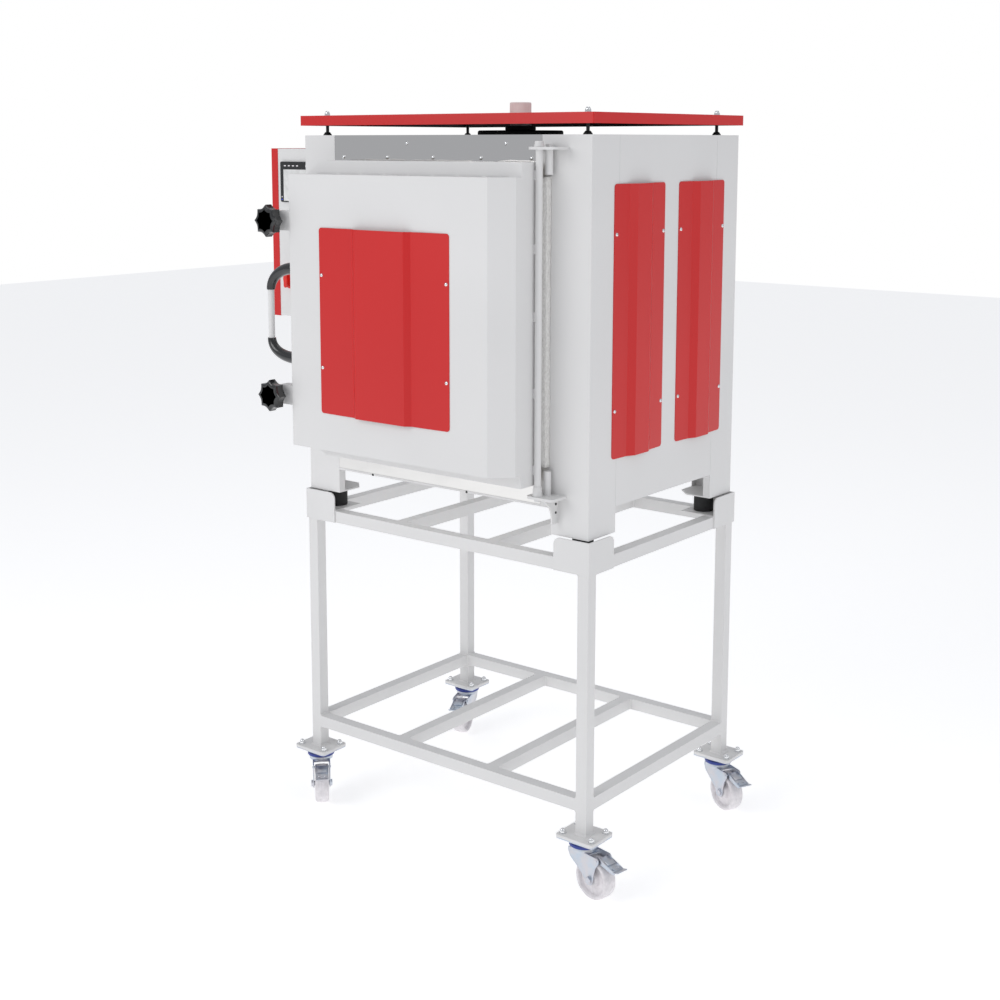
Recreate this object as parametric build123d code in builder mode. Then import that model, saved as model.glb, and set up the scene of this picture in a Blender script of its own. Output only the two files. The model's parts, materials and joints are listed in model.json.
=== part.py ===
from build123d import *
from math import cos, radians, sin
import os

# Front-loading ceramic kiln on a castor stand, in millimetres, +Z up, floor at Z = 0.
# X is to the right and Y to the back, seen from the door side.

# Where the middle of the casing stands in the part's frame
KILN_X = 26.17
KILN_Y = 79.15

# Clearances
FIT = 0.05            # radial play of a shaft in its bore
GAP = 0.3             # play between faces that move past each other
JOINT = 0.5           # open joint between neighbouring panels and bricks
HOLE_PLAY = 0.25      # radial play of a screw in its hole
MATCH = 0.01          # how closely an edge is recognised by its length

# Castors
WHEEL_D = 100.0
WHEEL_W = 36.0
WHEEL_HUB_D = 34.0
WHEEL_RECESS = 6.0
WHEEL_RIM = 15.0
AXLE_D = 12.0
CASTOR_TRAIL = 38.0
CASTOR_H = 139.0      # floor to the top of the castor's own plate
CASTOR_PLATE_T = 3.5
CASTOR_CUP_D = 60.0
CASTOR_CUP_H = 8.0
DUST_RING_D = 72.0
DUST_RING_H = 9.0
KING_PIN_D = 14.0
CROWN_T = 4.0
CROWN_GAP = 6.0       # crown above the wheel
CHEEK_T = 3.0
CHEEK_PLAY = 2.0      # wheel to cheek, each side
PEDAL_U = 60.0        # pedal pivot, out from the king pin
PEDAL_Z = 104.0
PEDAL_REACH = 58.0
PEDAL_DROP = 10.0
PEDAL_W = 34.0
PEDAL_PIN_D = 6.0
PEDAL_EYE_D = 14.0
PEDAL_TIP_D = 7.0
CASTORS = {
    "front_right": (1, -1, -9.0),
    "front_left": (-1, -1, -44.0),
    "rear_right": (1, 1, -23.0),
    "rear_left": (-1, 1, -70.0),
}

# Castor mounting plates
MOUNT_W = 105.0
MOUNT_D = 90.0
MOUNT_T = 6.0
MOUNT_CORNER = 8.0
BOLT_PITCH_X = 80.0
BOLT_PITCH_Y = 60.0
CASTOR_BOLT_D = 8.0
CASTOR_NUT_D = 15.0
CASTOR_NUT_H = 7.0
CASTOR_DOME_D = 10.0
CASTOR_DOME_H = 5.0
DOME_TAPER = 20.0     # degrees

# Stand
TUBE = 30.0
TUBE_WALL = 2.0
STAND_MARGIN = 5.0    # stand's tubes outside the casing, each side
STAND_LEG_LEN = 654.0
LOWER_RAIL_Z = 201.0
CROSS_RAIL_SHARE = 0.163  # of the stand's width, from the middle
SOCKET_W = 100.0
SOCKET_T = 4.0
SOCKET_LIP = 48.0     # above the stand's top
SOCKET_FLOOR = 3.0
SOCKET_CORNER = 16.0

# Feet and legs of the kiln
FOOT_D = 50.0
FOOT_H = 47.0
FOOT_INSET = 49.0
FOOT_PLATE_T = 3.0
CASE_LEG_H = 61.0     # legs below the casing's base

# Casing
SHEET = 2.0
CASE_W = 880.0
CASE_D = 640.0
CASE_H = 848.0
LEFT_POST_W = 103.0
RIGHT_POST_W = 135.0
RIGHT_LEG_W = 105.0
REAR_POST_W = 103.0
FRONT_POST_SIDE = 108.0
REAR_POST_SIDE = 103.0
LEG_LIP = 20.0
LEG_CHAMFER = 14.0
FASCIA_T = 1.5
FASCIA_BELOW = 6.0    # fascia's lower edge above the casing's base
FASCIA_MARGIN = 30.0  # brick face left bare round the chamber

# Chamber and lining
LEFT_WALL_T = 175.0   # casing's outside to the chamber
RIGHT_WALL_T = 205.0
BACK_WALL_T = 138.0
CHAMBER_DROP = 140.0  # top of the casing to the chamber's ceiling
CHAMBER_RISE = 148.0  # base of the casing to the chamber's floor
BRICK_T = 110.0
GROOVES = 6
GROOVE_MARGIN = 67.5  # lowest and highest groove from the floor and the ceiling
GROOVE_H = 24.0
GROOVE_DEPTH = 22.0
ELEMENT_D = 12.0
ELEMENT_END = 12.0    # element short of the groove's ends

# Thermocouple
PROBE_D = 12.0
PROBE_REACH = 60.0    # into the chamber
PROBE_DROP = 240.0
PROBE_HEAD_D = 52.0
PROBE_HEAD_L = 34.0

# Chimney
TUBE_D = 54.0
TUBE_BORE = 32.0
CHIMNEY_ABOVE_LID = 33.0
FLANGE_D = 215.0
FLANGE_T = 12.0
FLANGE_EDGE = 3.0

# Heat shield lid
LID_OVERHANG = 8.5
LID_GAP = 24.0
LID_H = 24.5
LID_SHEET = 1.5
LID_BEND = 3.0
LID_HOLE_PLAY = 3.0
STUD_INSET = 40.0
STUD_D = 8.0
STUD_FOOT_D = 22.0
STUD_FOOT_TOP_D = 12.0
STUD_FOOT_H = 8.0
NUT_D = 14.0
NUT_H = 6.5
CAP_DOME_D = 11.0
CAP_DOME_H = 6.0

# Ventilation covers
COVER_SHEET = 1.5
COVER_CORNER = 8.0
COVER_RISE = 13.0
WING_RISE = 3.0
VENT_W = 211.0
VENT_DROP = 109.0
VENT_RISE = 113.0
VENT_FRONT = 193.5    # front cover's middle behind the casing's front
VENT_REAR = 173.0     # rear cover's middle before the casing's back
VENT_CROWN_W = 58.0
VENT_BEVEL_W = 21.0
VENT_SCREW_INSET = 8.0
VENT_SCREW_SHARES = (0.18, 0.823)  # of the cover's height, from its top

# Screws
SCREW_HEAD_D = 9.0
SCREW_HEAD_H = 3.0
SCREW_BEVEL = 1.2
FASCIA_SCREW_MARGIN = 30.0
FASCIA_LOW_SCREWS = 5
FASCIA_LOW_SCREW_DROP = 53.0
FASCIA_TOP_SCREW_SHARES = (0.372, 0.84)  # of the fascia's width, from its left
FASCIA_TOP_SCREW_DROP = 20.0

# Hinge
ROD_GAP = 11.0        # door's right edge to the rod's axis
ROD_OUT = 40.0        # in front of the casing
ROD_D = 16.0
BRACKET_W = 76.0
BRACKET_OUT = 55.0
BRACKET_T = 6.0
BRACKET_CORNER = 12.0
UPPER_BRACKET_DROP = 27.0
LOWER_BRACKET_RISE = 35.0
BRACKET_SHIFT = 14.0  # plate's middle outside the rod
GUSSET_SHIFT = 27.0
GUSSET_T = 4.0
GUSSET_H = 60.0
GUSSET_ROOT = 23.0
STOP_BAR_SHIFT = 9.0
STOP_BAR_OUT = 15.0
STOP_BAR_D = 18.0
STOP_BAR_L = 55.0
STOP_BOLT_HEAD_D = 17.0
STOP_BOLT_HEAD_H = 6.0
ROD_NUT_D = 24.0
ROD_NUT_H = 12.5
COLLAR_D = 24.0
COLLAR_H = 22.0
COLLAR_TAPER = 6.0    # degrees
ROD_NUT_TAPER = 12.0
ROD_TAIL = 7.0
TAB_SHARES = (0.039, 0.2625, 0.471, 0.7095, 0.9505)  # of the tray's height, from its top
TAB_H = 22.0
TAB_T = 7.0

# Door
TRAY_LEFT_MARGIN = 95.0   # inside the casing's left edge
TRAY_RIGHT_MARGIN = 125.0
TRAY_DROP = 60.5
TRAY_RISE = 58.0
TRAY_BACK = 18.0      # in front of the casing
TRAY_FRONT = 89.0
TRAY_CHAMFER_X = 48.0
TRAY_CHAMFER_Z = 32.0
COVER_FRONT = 154.0
COVER_LAP = 2.0       # cover past the tray's left edge
COVER_BEVEL_W = 45.0
COVER_BEVEL_OUT = 109.0
COVER_BEVEL_SHARE = 0.4   # inset along the bevel's ends for each unit of sheet
COVER_DROP = 93.0
COVER_FOOT = 88.0
COVER_BEND = 4.0
SLOT_MARGIN = 31.0
SLOT_BRIDGE = 9.0
SLOT_DEPTH = 4.0
SLOTS = 8
PLUG_PLAY = 6.0
PLUG_DEPTH = 50.0     # inside the chamber's mouth
PLUG_TAPER = 6.5
SEAL_INSET = 12.0     # seal inside the tray's left edge
SEAL_OVERHANG = 18.0  # seal past the tray's right edge
SEAL_DROP = 91.0
SEAL_RISE = 96.0
SEAL_LAP = 10.0       # seal's inner edge outside the chamber's mouth
SEAL_RELIEF = 5.0
DOOR_VENT_LEFT_MARGIN = 104.0   # panel inside the cover's flat front
DOOR_VENT_RIGHT_MARGIN = 108.0
DOOR_VENT_TOP_MARGIN = 125.7
DOOR_VENT_FOOT_MARGIN = 92.3
DOOR_VENT_CROWN_W = 154.0
DOOR_VENT_BEVEL_W = 14.0
DOOR_SCREW_INSET = 7.5
DOOR_SCREW_SHARES = (0.2525, 0.751)

# Handle
HANDLE_REACH = 83.0   # tube's axis outside the cover
HANDLE_OUT = 138.0
HANDLE_D = 16.0
HANDLE_L = 121.0
HANDLE_ROOT_PITCH = 222.0
HANDLE_SHARE = 0.512  # middle of its roots down the tray's height
HANDLE_SAG = 5.5      # tube's middle below the middle of the roots
ELBOW_ROOT_D = 30.0
ELBOW_END_D = 21.0
ELBOW_ARM = 45.0
ELBOW_DROOP = 30.0

# Clamps
CLAMP_REACH = 43.0    # stud's axis outside the cover
CLAMP_SHARES = {"upper": 0.1995, "lower": 0.79}  # of the tray's height, from its top
KNOB_D = 75.0
KNOB_H = 26.0
KNOB_HUB_D = 36.0
KNOB_HUB_H = 14.0
KNOB_POINTS = 8
KNOB_SCALLOP_R = 15.0
KNOB_SCALLOP_DEPTH = 6.5
KNOB_EDGE = 3.0
CLAMP_STUD_D = 12.0
CLAMP_NOSE = 15.0     # stud's end inside the knob
CLAMP_TIP_GAP = 2.0   # stud's tip in front of the post
CLAMP_HOLE_D = 17.0
CLAMP_BOSS_D = 30.0
CLAMP_BOSS_H = 16.0
COLLAR_RIM_D = 30.0
COLLAR_RIM_T = 3.0
LUG_OUT = 150.0
LUG_T = 30.0
LUG_H = 48.0
LUG_END = 25.0        # lug past the stud's axis

# Control box
BOX_W = 142.0
BOX_SETBACK = 40.0
BOX_D = 300.0
BOX_DROP = 34.0
BOX_H = 436.0
BOX_COVER_T = 23.0
BOX_COVER_LAP = 1.0
PANEL_INSET = 68.0    # display's middle from the box's left face
PANEL_W = 110.0
PANEL_H = 104.0
PANEL_DROP = 67.0
PANEL_T = 5.0
PANEL_BODY_W = 92.0
PANEL_BODY_L = 80.0
PANEL_CORNER = 4.0
BUTTON_D = 9.0
BUTTON_OUT = 2.5
BUTTON_TRAVEL = 1.5
BUTTON_SHIFT = 44.0   # right of the display's middle
BUTTON_DROP = 78.0
SWITCH_INSET = 43.0
SWITCH_DROP = 372.0
SWITCH_D = 48.0
SWITCH_BASE_T = 8.0
SWITCH_GRIP_H = 16.0
SWITCH_GRIP_W = 12.0
SWITCH_SHAFT_D = 8.0
SWITCH_SHAFT_L = 20.0
GLAND_D = 24.0
GLAND_NUT_D = 33.0
GLAND_NUT_H = 8.0
GLAND_L = 16.0
GLAND_BORE = 10.0
GLAND_TAPER = 12.0    # degrees
GLAND_SETBACK = 180.0 # behind the box's front
GLAND_DOME_SHARE = 0.43   # dome's radius as a share of the nut's width

# Heights and faces that follow from the sizes above
MOUNT_TOP = CASTOR_H + MOUNT_T
STAND_TOP = MOUNT_TOP + STAND_LEG_LEN
FOOT_Z = STAND_TOP + SOCKET_FLOOR
CASE_LEG_Z = FOOT_Z + FOOT_H
BASE_Z = CASE_LEG_Z + CASE_LEG_H
TOP = BASE_Z + CASE_H
UPPER_RAIL_Z = STAND_TOP - TUBE
STAND_W = CASE_W + 2 * STAND_MARGIN
STAND_D = CASE_D + 2 * STAND_MARGIN
CROSS_RAIL_X = CROSS_RAIL_SHARE * STAND_W
LEG_X = (STAND_W - TUBE) / 2
LEG_Y = (STAND_D - TUBE) / 2
HALF_W = CASE_W / 2
HALF_D = CASE_D / 2
FRONT = -HALF_D

# The chamber, from the casing and its walls
CHAMBER_LEFT = -HALF_W + LEFT_WALL_T
CHAMBER_RIGHT = HALF_W - RIGHT_WALL_T
CHAMBER_X = (CHAMBER_LEFT + CHAMBER_RIGHT) / 2
CHAMBER_W = CHAMBER_RIGHT - CHAMBER_LEFT
CHAMBER_TOP = TOP - CHAMBER_DROP
CHAMBER_FLOOR = BASE_Z + CHAMBER_RISE
CHAMBER_H = CHAMBER_TOP - CHAMBER_FLOOR
LINING_FRONT = FRONT + SHEET
CHAMBER_BACK = HALF_D - BACK_WALL_T
CHAMBER_D = CHAMBER_BACK - LINING_FRONT

# The door and what hangs on it, from the casing
TRAY_LEFT = -HALF_W + TRAY_LEFT_MARGIN
TRAY_RIGHT = HALF_W - TRAY_RIGHT_MARGIN
TRAY_H = CASE_H - TRAY_DROP - TRAY_RISE
COVER_LEFT = TRAY_LEFT - COVER_LAP
COVER_BEVEL_X = TRAY_RIGHT - COVER_BEVEL_W
COVER_H = CASE_H - COVER_DROP - COVER_FOOT
SEAL_LEFT = TRAY_LEFT + SEAL_INSET
SEAL_RIGHT = TRAY_RIGHT + SEAL_OVERHANG
SEAL_H = CASE_H - SEAL_DROP - SEAL_RISE
ROD_X = TRAY_RIGHT + ROD_GAP
CLAMP_X = COVER_LEFT - CLAMP_REACH
CLAMP_DROPS = {name: TRAY_DROP + share * TRAY_H for name, share in CLAMP_SHARES.items()}
HANDLE_X = COVER_LEFT - HANDLE_REACH
VENT_H = CASE_H - VENT_DROP - VENT_RISE

os.makedirs("parts", exist_ok=True)


def level(z):
    """Level plane at height z: X to the right, Y to the back."""
    return Plane(origin=(KILN_X, KILN_Y, z))


def facing(y):
    """Upright plane seen from the front, at depth y: X to the right, Z up."""
    return Plane(origin=(KILN_X, KILN_Y + y, 0), x_dir=(1, 0, 0), z_dir=(0, -1, 0))


def flank(x):
    """Upright plane seen from the right, at x: Y to the back, Z up."""
    return Plane(origin=(KILN_X + x, KILN_Y, 0), x_dir=(0, 1, 0), z_dir=(1, 0, 0))


def save(block, label):
    """Name a finished piece and write it."""
    block.part.label = label
    export_step(block.part, f"parts/{label}.step")


def span(low, high, floor, ceiling):
    """Rectangle between two pairs of edges, in the sketch that is open."""
    with Locations(((low + high) / 2, (floor + ceiling) / 2)):
        Rectangle(high - low, ceiling - floor)


def square_tube(plane, places, length):
    """Hollow square tubes along the plane's normal, one at each place."""
    with BuildPart() as tubes:
        with BuildSketch(plane):
            with Locations(*places):
                Rectangle(TUBE, TUBE)
                Rectangle(TUBE - 2 * TUBE_WALL, TUBE - 2 * TUBE_WALL, mode=Mode.SUBTRACT)
        extrude(amount=length)
    return tubes


def screw_heads(plane, places):
    """Flat-topped domed heads standing on the plane."""
    with BuildPart() as heads:
        with BuildSketch(plane):
            with Locations(*places):
                Circle(SCREW_HEAD_D / 2)
        extrude(amount=SCREW_HEAD_H)
        chamfer(heads.edges().group_by(Axis(plane.origin, plane.z_dir))[-1], SCREW_BEVEL)
    return heads


# Stand legs
stand_legs = square_tube(
    level(MOUNT_TOP),
    [(-LEG_X, -LEG_Y), (LEG_X, -LEG_Y), (-LEG_X, LEG_Y), (LEG_X, LEG_Y)],
    STAND_LEG_LEN,
)
save(stand_legs, "stand_legs")

# Rails from left to right, at the front and the back
rail_heights = (LOWER_RAIL_Z + TUBE / 2, UPPER_RAIL_Z + TUBE / 2)
stand_long_rails = square_tube(
    flank(TUBE / 2 - LEG_X),
    [(y, z) for y in (-LEG_Y, LEG_Y) for z in rail_heights],
    STAND_W - 2 * TUBE,
)
save(stand_long_rails, "stand_long_rails")

# Rails from front to back, at the two sides and in the middle
stand_depth_rails = square_tube(
    facing(LEG_Y - TUBE / 2),
    [(x, z) for x in (-LEG_X, -CROSS_RAIL_X, CROSS_RAIL_X, LEG_X) for z in rail_heights],
    STAND_D - 2 * TUBE,
)
save(stand_depth_rails, "stand_depth_rails")

# Corner sockets: two upright plates and a floor, welded round the top of each leg
socket_x = STAND_W / 2 + SOCKET_T
socket_y = STAND_D / 2 + SOCKET_T
socket_top = STAND_TOP + SOCKET_LIP
with BuildPart() as corner_sockets:
    for side in (-1, 1):
        for end in (-1, 1):
            with BuildSketch(level(UPPER_RAIL_Z)):
                with Locations((side * (socket_x - SOCKET_W / 2), end * (socket_y - SOCKET_T / 2))):
                    Rectangle(SOCKET_W, SOCKET_T)
                with Locations((side * (socket_x - SOCKET_T / 2), end * (socket_y - SOCKET_W / 2))):
                    Rectangle(SOCKET_T, SOCKET_W)
            extrude(amount=socket_top - UPPER_RAIL_Z)
            with BuildSketch(level(STAND_TOP)):
                reach = SOCKET_W - SOCKET_T
                with Locations((side * (STAND_W - reach) / 2, end * (STAND_D - reach) / 2)):
                    Rectangle(reach, reach)
            extrude(amount=SOCKET_FLOOR)
    lip_ends = corner_sockets.edges().filter_by(Axis.X) + corner_sockets.edges().filter_by(Axis.Y)
    lip_ends = lip_ends.filter_by(lambda e: abs(e.length - SOCKET_T) < MATCH)
    lip_ends = lip_ends.filter_by(lambda e: abs(e.center().Z - socket_top) < MATCH)
    fillet(lip_ends, SOCKET_CORNER)
save(corner_sockets, "corner_sockets")

# Plates under the legs, which the castors bolt to
bolt_places = [
    (side * LEG_X + dx, end * LEG_Y + dy)
    for side in (-1, 1)
    for end in (-1, 1)
    for dx in (-BOLT_PITCH_X / 2, BOLT_PITCH_X / 2)
    for dy in (-BOLT_PITCH_Y / 2, BOLT_PITCH_Y / 2)
]
leg_places = [(side * LEG_X, end * LEG_Y) for side in (-1, 1) for end in (-1, 1)]
bolt_hole_r = CASTOR_BOLT_D / 2 + HOLE_PLAY
with BuildPart() as castor_mounting_plates:
    with BuildSketch(level(CASTOR_H)):
        with Locations(*leg_places):
            RectangleRounded(MOUNT_W, MOUNT_D, MOUNT_CORNER)
        with Locations(*bolt_places):
            Circle(bolt_hole_r, mode=Mode.SUBTRACT)
    extrude(amount=MOUNT_T)
save(castor_mounting_plates, "castor_mounting_plates")

# The castors' own top plates, each with the cup of its swivel bearing
castor_plate_z = CASTOR_H - CASTOR_PLATE_T
cup_z = castor_plate_z - CASTOR_CUP_H
with BuildPart() as castor_top_plates:
    with BuildSketch(level(castor_plate_z)):
        with Locations(*leg_places):
            RectangleRounded(MOUNT_W - 2 * HOLE_PLAY, MOUNT_D - 2 * HOLE_PLAY, MOUNT_CORNER)
        with Locations(*bolt_places):
            Circle(bolt_hole_r, mode=Mode.SUBTRACT)
    extrude(amount=CASTOR_PLATE_T)
    with BuildSketch(level(cup_z)):
        with Locations(*leg_places):
            Circle(CASTOR_CUP_D / 2)
    extrude(amount=CASTOR_CUP_H)
    with BuildSketch(level(cup_z)):
        with Locations(*leg_places):
            Circle(KING_PIN_D / 2 + FIT)
    extrude(amount=CASTOR_CUP_H, mode=Mode.SUBTRACT)
save(castor_top_plates, "castor_top_plates")

# Dust rings that close the swivel bearings
ring_z = cup_z - DUST_RING_H
with BuildPart() as castor_dust_rings:
    with BuildSketch(level(ring_z)):
        with Locations(*leg_places):
            Circle(DUST_RING_D / 2)
            Circle(KING_PIN_D / 2 + GAP, mode=Mode.SUBTRACT)
    extrude(amount=DUST_RING_H)
    chamfer(castor_dust_rings.edges().group_by(Axis.Z)[0].group_by(SortBy.RADIUS)[-1], COVER_SHEET)
save(castor_dust_rings, "castor_dust_rings")

# Bolts through both plates, with domed cap nuts on top and round heads below
with BuildPart() as castor_bolts:
    with BuildSketch(level(castor_plate_z)):
        with Locations(*bolt_places):
            Circle(CASTOR_BOLT_D / 2)
    extrude(amount=CASTOR_PLATE_T + MOUNT_T)
    with BuildSketch(level(MOUNT_TOP)):
        with Locations(*bolt_places):
            RegularPolygon(CASTOR_NUT_D / 2, 6)
    extrude(amount=CASTOR_NUT_H)
    with BuildSketch(level(MOUNT_TOP + CASTOR_NUT_H)):
        with Locations(*bolt_places):
            Circle(CASTOR_DOME_D / 2)
    extrude(amount=CASTOR_DOME_H, taper=DOME_TAPER)
    with BuildSketch(level(castor_plate_z)):
        with Locations(*bolt_places):
            RegularPolygon(CASTOR_NUT_D / 2, 6)
    extrude(amount=-CASTOR_NUT_H)
save(castor_bolts, "castor_bolts")

# Swivelling part of each castor: fork with king pin and axle, wheel, and brake pedal
crown_z = WHEEL_D + CROWN_GAP
cheek_in = WHEEL_W / 2 + CHEEK_PLAY
for corner, (side, end, heading) in CASTORS.items():
    centre = (KILN_X + side * LEG_X, KILN_Y + end * LEG_Y, 0)
    along = (cos(radians(heading)), sin(radians(heading)), 0)
    across = (sin(radians(heading)), -cos(radians(heading)), 0)
    profile = Plane(origin=centre, x_dir=along, z_dir=across)
    plan = Plane(origin=centre, x_dir=along, z_dir=(0, 0, 1))

    with BuildPart() as fork:
        for start in (cheek_in, -cheek_in - CHEEK_T):
            with BuildSketch(profile.offset(start)) as cheek:
                with Locations((CASTOR_TRAIL, WHEEL_D / 2)):
                    Circle(AXLE_D)
                with Locations((PEDAL_U, PEDAL_Z)):
                    Circle(PEDAL_EYE_D / 2)
                with Locations((0, crown_z + CROWN_T / 2)):
                    Rectangle(CASTOR_CUP_D, CROWN_T)
                make_hull(cheek.edges())
            extrude(amount=CHEEK_T)
        with BuildSketch(plan.offset(crown_z)):
            Rectangle(CASTOR_CUP_D, 2 * (cheek_in + CHEEK_T))
        extrude(amount=CROWN_T)
        with BuildSketch(plan.offset(crown_z)):
            Circle(CASTOR_CUP_D / 2)
        extrude(amount=ring_z - GAP - crown_z)
        with BuildSketch(plan.offset(crown_z)):
            Circle(KING_PIN_D / 2)
        extrude(amount=castor_plate_z - GAP - crown_z)
        with BuildSketch(profile):
            with Locations((CASTOR_TRAIL, WHEEL_D / 2)):
                Circle(AXLE_D / 2)
        extrude(amount=cheek_in + 2 * CHEEK_T, both=True)
        with BuildSketch(profile):
            with Locations((PEDAL_U, PEDAL_Z)):
                Circle(PEDAL_PIN_D / 2)
        extrude(amount=cheek_in + CHEEK_T, both=True)
    save(fork, f"{corner}_castor_fork")

    with BuildPart() as wheel:
        with BuildSketch(profile):
            with Locations((CASTOR_TRAIL, WHEEL_D / 2)):
                Circle(WHEEL_D / 2)
        extrude(amount=WHEEL_W / 2, both=True)
        fillet(wheel.edges(), WHEEL_RECESS)
        for start, depth in ((WHEEL_W / 2, -WHEEL_RECESS), (-WHEEL_W / 2, WHEEL_RECESS)):
            with BuildSketch(profile.offset(start)):
                with Locations((CASTOR_TRAIL, WHEEL_D / 2)):
                    Circle(WHEEL_D / 2 - WHEEL_RIM)
                    Circle(WHEEL_HUB_D / 2, mode=Mode.SUBTRACT)
            extrude(amount=depth, mode=Mode.SUBTRACT)
        with BuildSketch(profile):
            with Locations((CASTOR_TRAIL, WHEEL_D / 2)):
                Circle(AXLE_D / 2 + FIT)
        extrude(amount=WHEEL_W, both=True, mode=Mode.SUBTRACT)
    save(wheel, f"{corner}_castor_wheel")

    with BuildPart() as pedal:
        with BuildSketch(profile) as lever:
            with Locations((PEDAL_U, PEDAL_Z)):
                Circle(PEDAL_EYE_D / 2)
            with Locations((PEDAL_U + PEDAL_REACH, PEDAL_Z - PEDAL_DROP)):
                Circle(PEDAL_TIP_D / 2)
            make_hull(lever.edges())
            with Locations((PEDAL_U, PEDAL_Z)):
                Circle(PEDAL_PIN_D / 2 + FIT, mode=Mode.SUBTRACT)
        extrude(amount=PEDAL_W / 2, both=True)
    save(pedal, f"{corner}_castor_pedal")

# Rubber feet, which stand on the socket floors
foot_x = HALF_W - FOOT_INSET
foot_y = HALF_D - FOOT_INSET
with BuildPart() as kiln_feet:
    with BuildSketch(level(FOOT_Z)):
        with Locations(*[(side * foot_x, end * foot_y) for side in (-1, 1) for end in (-1, 1)]):
            Circle(FOOT_D / 2)
    extrude(amount=FOOT_H)
    chamfer(kiln_feet.edges().group_by(Axis.Z)[0], SHEET)
save(kiln_feet, "kiln_feet")

# Corner posts of folded sheet, each reaching down as a leg with a foot plate
front_posts = {-1: LEFT_POST_W, 1: RIGHT_POST_W}
with BuildPart() as corner_posts:
    for side in (-1, 1):
        for end in (-1, 1):
            face_w = front_posts[side] if end < 0 else REAR_POST_W
            leg_w = min(face_w, RIGHT_LEG_W)
            side_w = FRONT_POST_SIDE if end < 0 else REAR_POST_SIDE
            with BuildSketch(level(BASE_Z)):
                with Locations((side * (HALF_W - face_w / 2), end * (HALF_D - SHEET / 2))):
                    Rectangle(face_w, SHEET)
                with Locations((side * (HALF_W - SHEET / 2), end * (HALF_D - side_w / 2))):
                    Rectangle(SHEET, side_w)
            extrude(amount=CASE_H)
            with BuildSketch(level(CASE_LEG_Z)):
                with Locations((side * (HALF_W - leg_w / 2), end * (HALF_D - SHEET / 2))):
                    Rectangle(leg_w, SHEET)
                with Locations((side * (HALF_W - SHEET / 2), end * (HALF_D - side_w / 2))):
                    Rectangle(SHEET, side_w)
                with Locations((side * (HALF_W - leg_w + SHEET / 2), end * (HALF_D - LEG_LIP / 2))):
                    Rectangle(SHEET, LEG_LIP)
                with Locations((side * (HALF_W - LEG_LIP / 2), end * (HALF_D - side_w + SHEET / 2))):
                    Rectangle(LEG_LIP, SHEET)
            extrude(amount=CASE_LEG_H)
            with BuildSketch(level(CASE_LEG_Z)):
                with Locations((side * (HALF_W - leg_w / 2), end * (HALF_D - side_w / 2))):
                    foot_plate = Rectangle(leg_w, side_w)
                inner = foot_plate.vertices().sort_by_distance((0, 0, 0))[0]
                chamfer(inner, LEG_CHAMFER + LEG_LIP)
            extrude(amount=FOOT_PLATE_T)
save(corner_posts, "corner_posts")

# Sleeves on the left front post, which take the tips of the clamp studs
clamp_places = [(CLAMP_X, TOP - drop) for drop in CLAMP_DROPS.values()]
with BuildPart() as clamp_bosses:
    with BuildSketch(facing(FRONT)):
        with Locations(*clamp_places):
            Circle(CLAMP_BOSS_D / 2)
            Circle(CLAMP_HOLE_D / 2, mode=Mode.SUBTRACT)
    extrude(amount=CLAMP_BOSS_H)
    chamfer(clamp_bosses.edges().group_by(Axis.Y)[0], COVER_SHEET)
save(clamp_bosses, "clamp_bosses")

# Side panels and rear panel between the posts, flush with them; the thermocouple's hole is behind
panel_front = FRONT + FRONT_POST_SIDE + JOINT
panel_back = HALF_D - REAR_POST_SIDE - JOINT
probe_z = TOP - PROBE_DROP
rear_half = HALF_W - REAR_POST_W - JOINT
with BuildPart() as casing_panels:
    for x in (-HALF_W, HALF_W - SHEET):
        with BuildSketch(flank(x)):
            span(panel_front, panel_back, BASE_Z, TOP)
        extrude(amount=SHEET)
    with BuildSketch(facing(HALF_D)):
        span(-rear_half, rear_half, BASE_Z, TOP)
        with Locations((CHAMBER_X, probe_z)):
            Circle(PROBE_D / 2 + JOINT, mode=Mode.SUBTRACT)
    extrude(amount=SHEET)
save(casing_panels, "casing_panels")

# Base of the casing, with an upturned front lip below the fascia
fascia_left = -HALF_W + LEFT_POST_W + JOINT
fascia_right = HALF_W - RIGHT_POST_W - JOINT
fascia_z = BASE_Z + FASCIA_BELOW
with BuildPart() as base_tray:
    with BuildSketch(level(BASE_Z)):
        Rectangle(CASE_W - 2 * SHEET, CASE_D - 2 * SHEET)
    extrude(amount=SHEET)
    with BuildSketch(facing(FRONT + SHEET)):
        span(fascia_left, fascia_right, BASE_Z, fascia_z - JOINT)
    extrude(amount=SHEET)
save(base_tray, "base_tray")

# Deck that closes the casing on top, round the chimney
with BuildPart() as top_deck:
    with BuildSketch(level(TOP - SHEET)):
        Rectangle(CASE_W - 2 * SHEET, CASE_D - 2 * SHEET)
        Circle(TUBE_D / 2 + JOINT, mode=Mode.SUBTRACT)
    extrude(amount=SHEET)
save(top_deck, "top_deck")

# Polished fascia round the chamber's mouth
with BuildPart() as front_fascia:
    with BuildSketch(facing(FRONT + FASCIA_T)):
        span(fascia_left, fascia_right, fascia_z, TOP)
        with Locations((CHAMBER_X, CHAMBER_FLOOR + CHAMBER_H / 2)):
            RectangleRounded(
                CHAMBER_W + 2 * FASCIA_MARGIN,
                CHAMBER_H + 2 * FASCIA_MARGIN,
                COVER_CORNER,
                mode=Mode.SUBTRACT,
            )
    extrude(amount=FASCIA_T)
save(front_fascia, "front_fascia")

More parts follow.
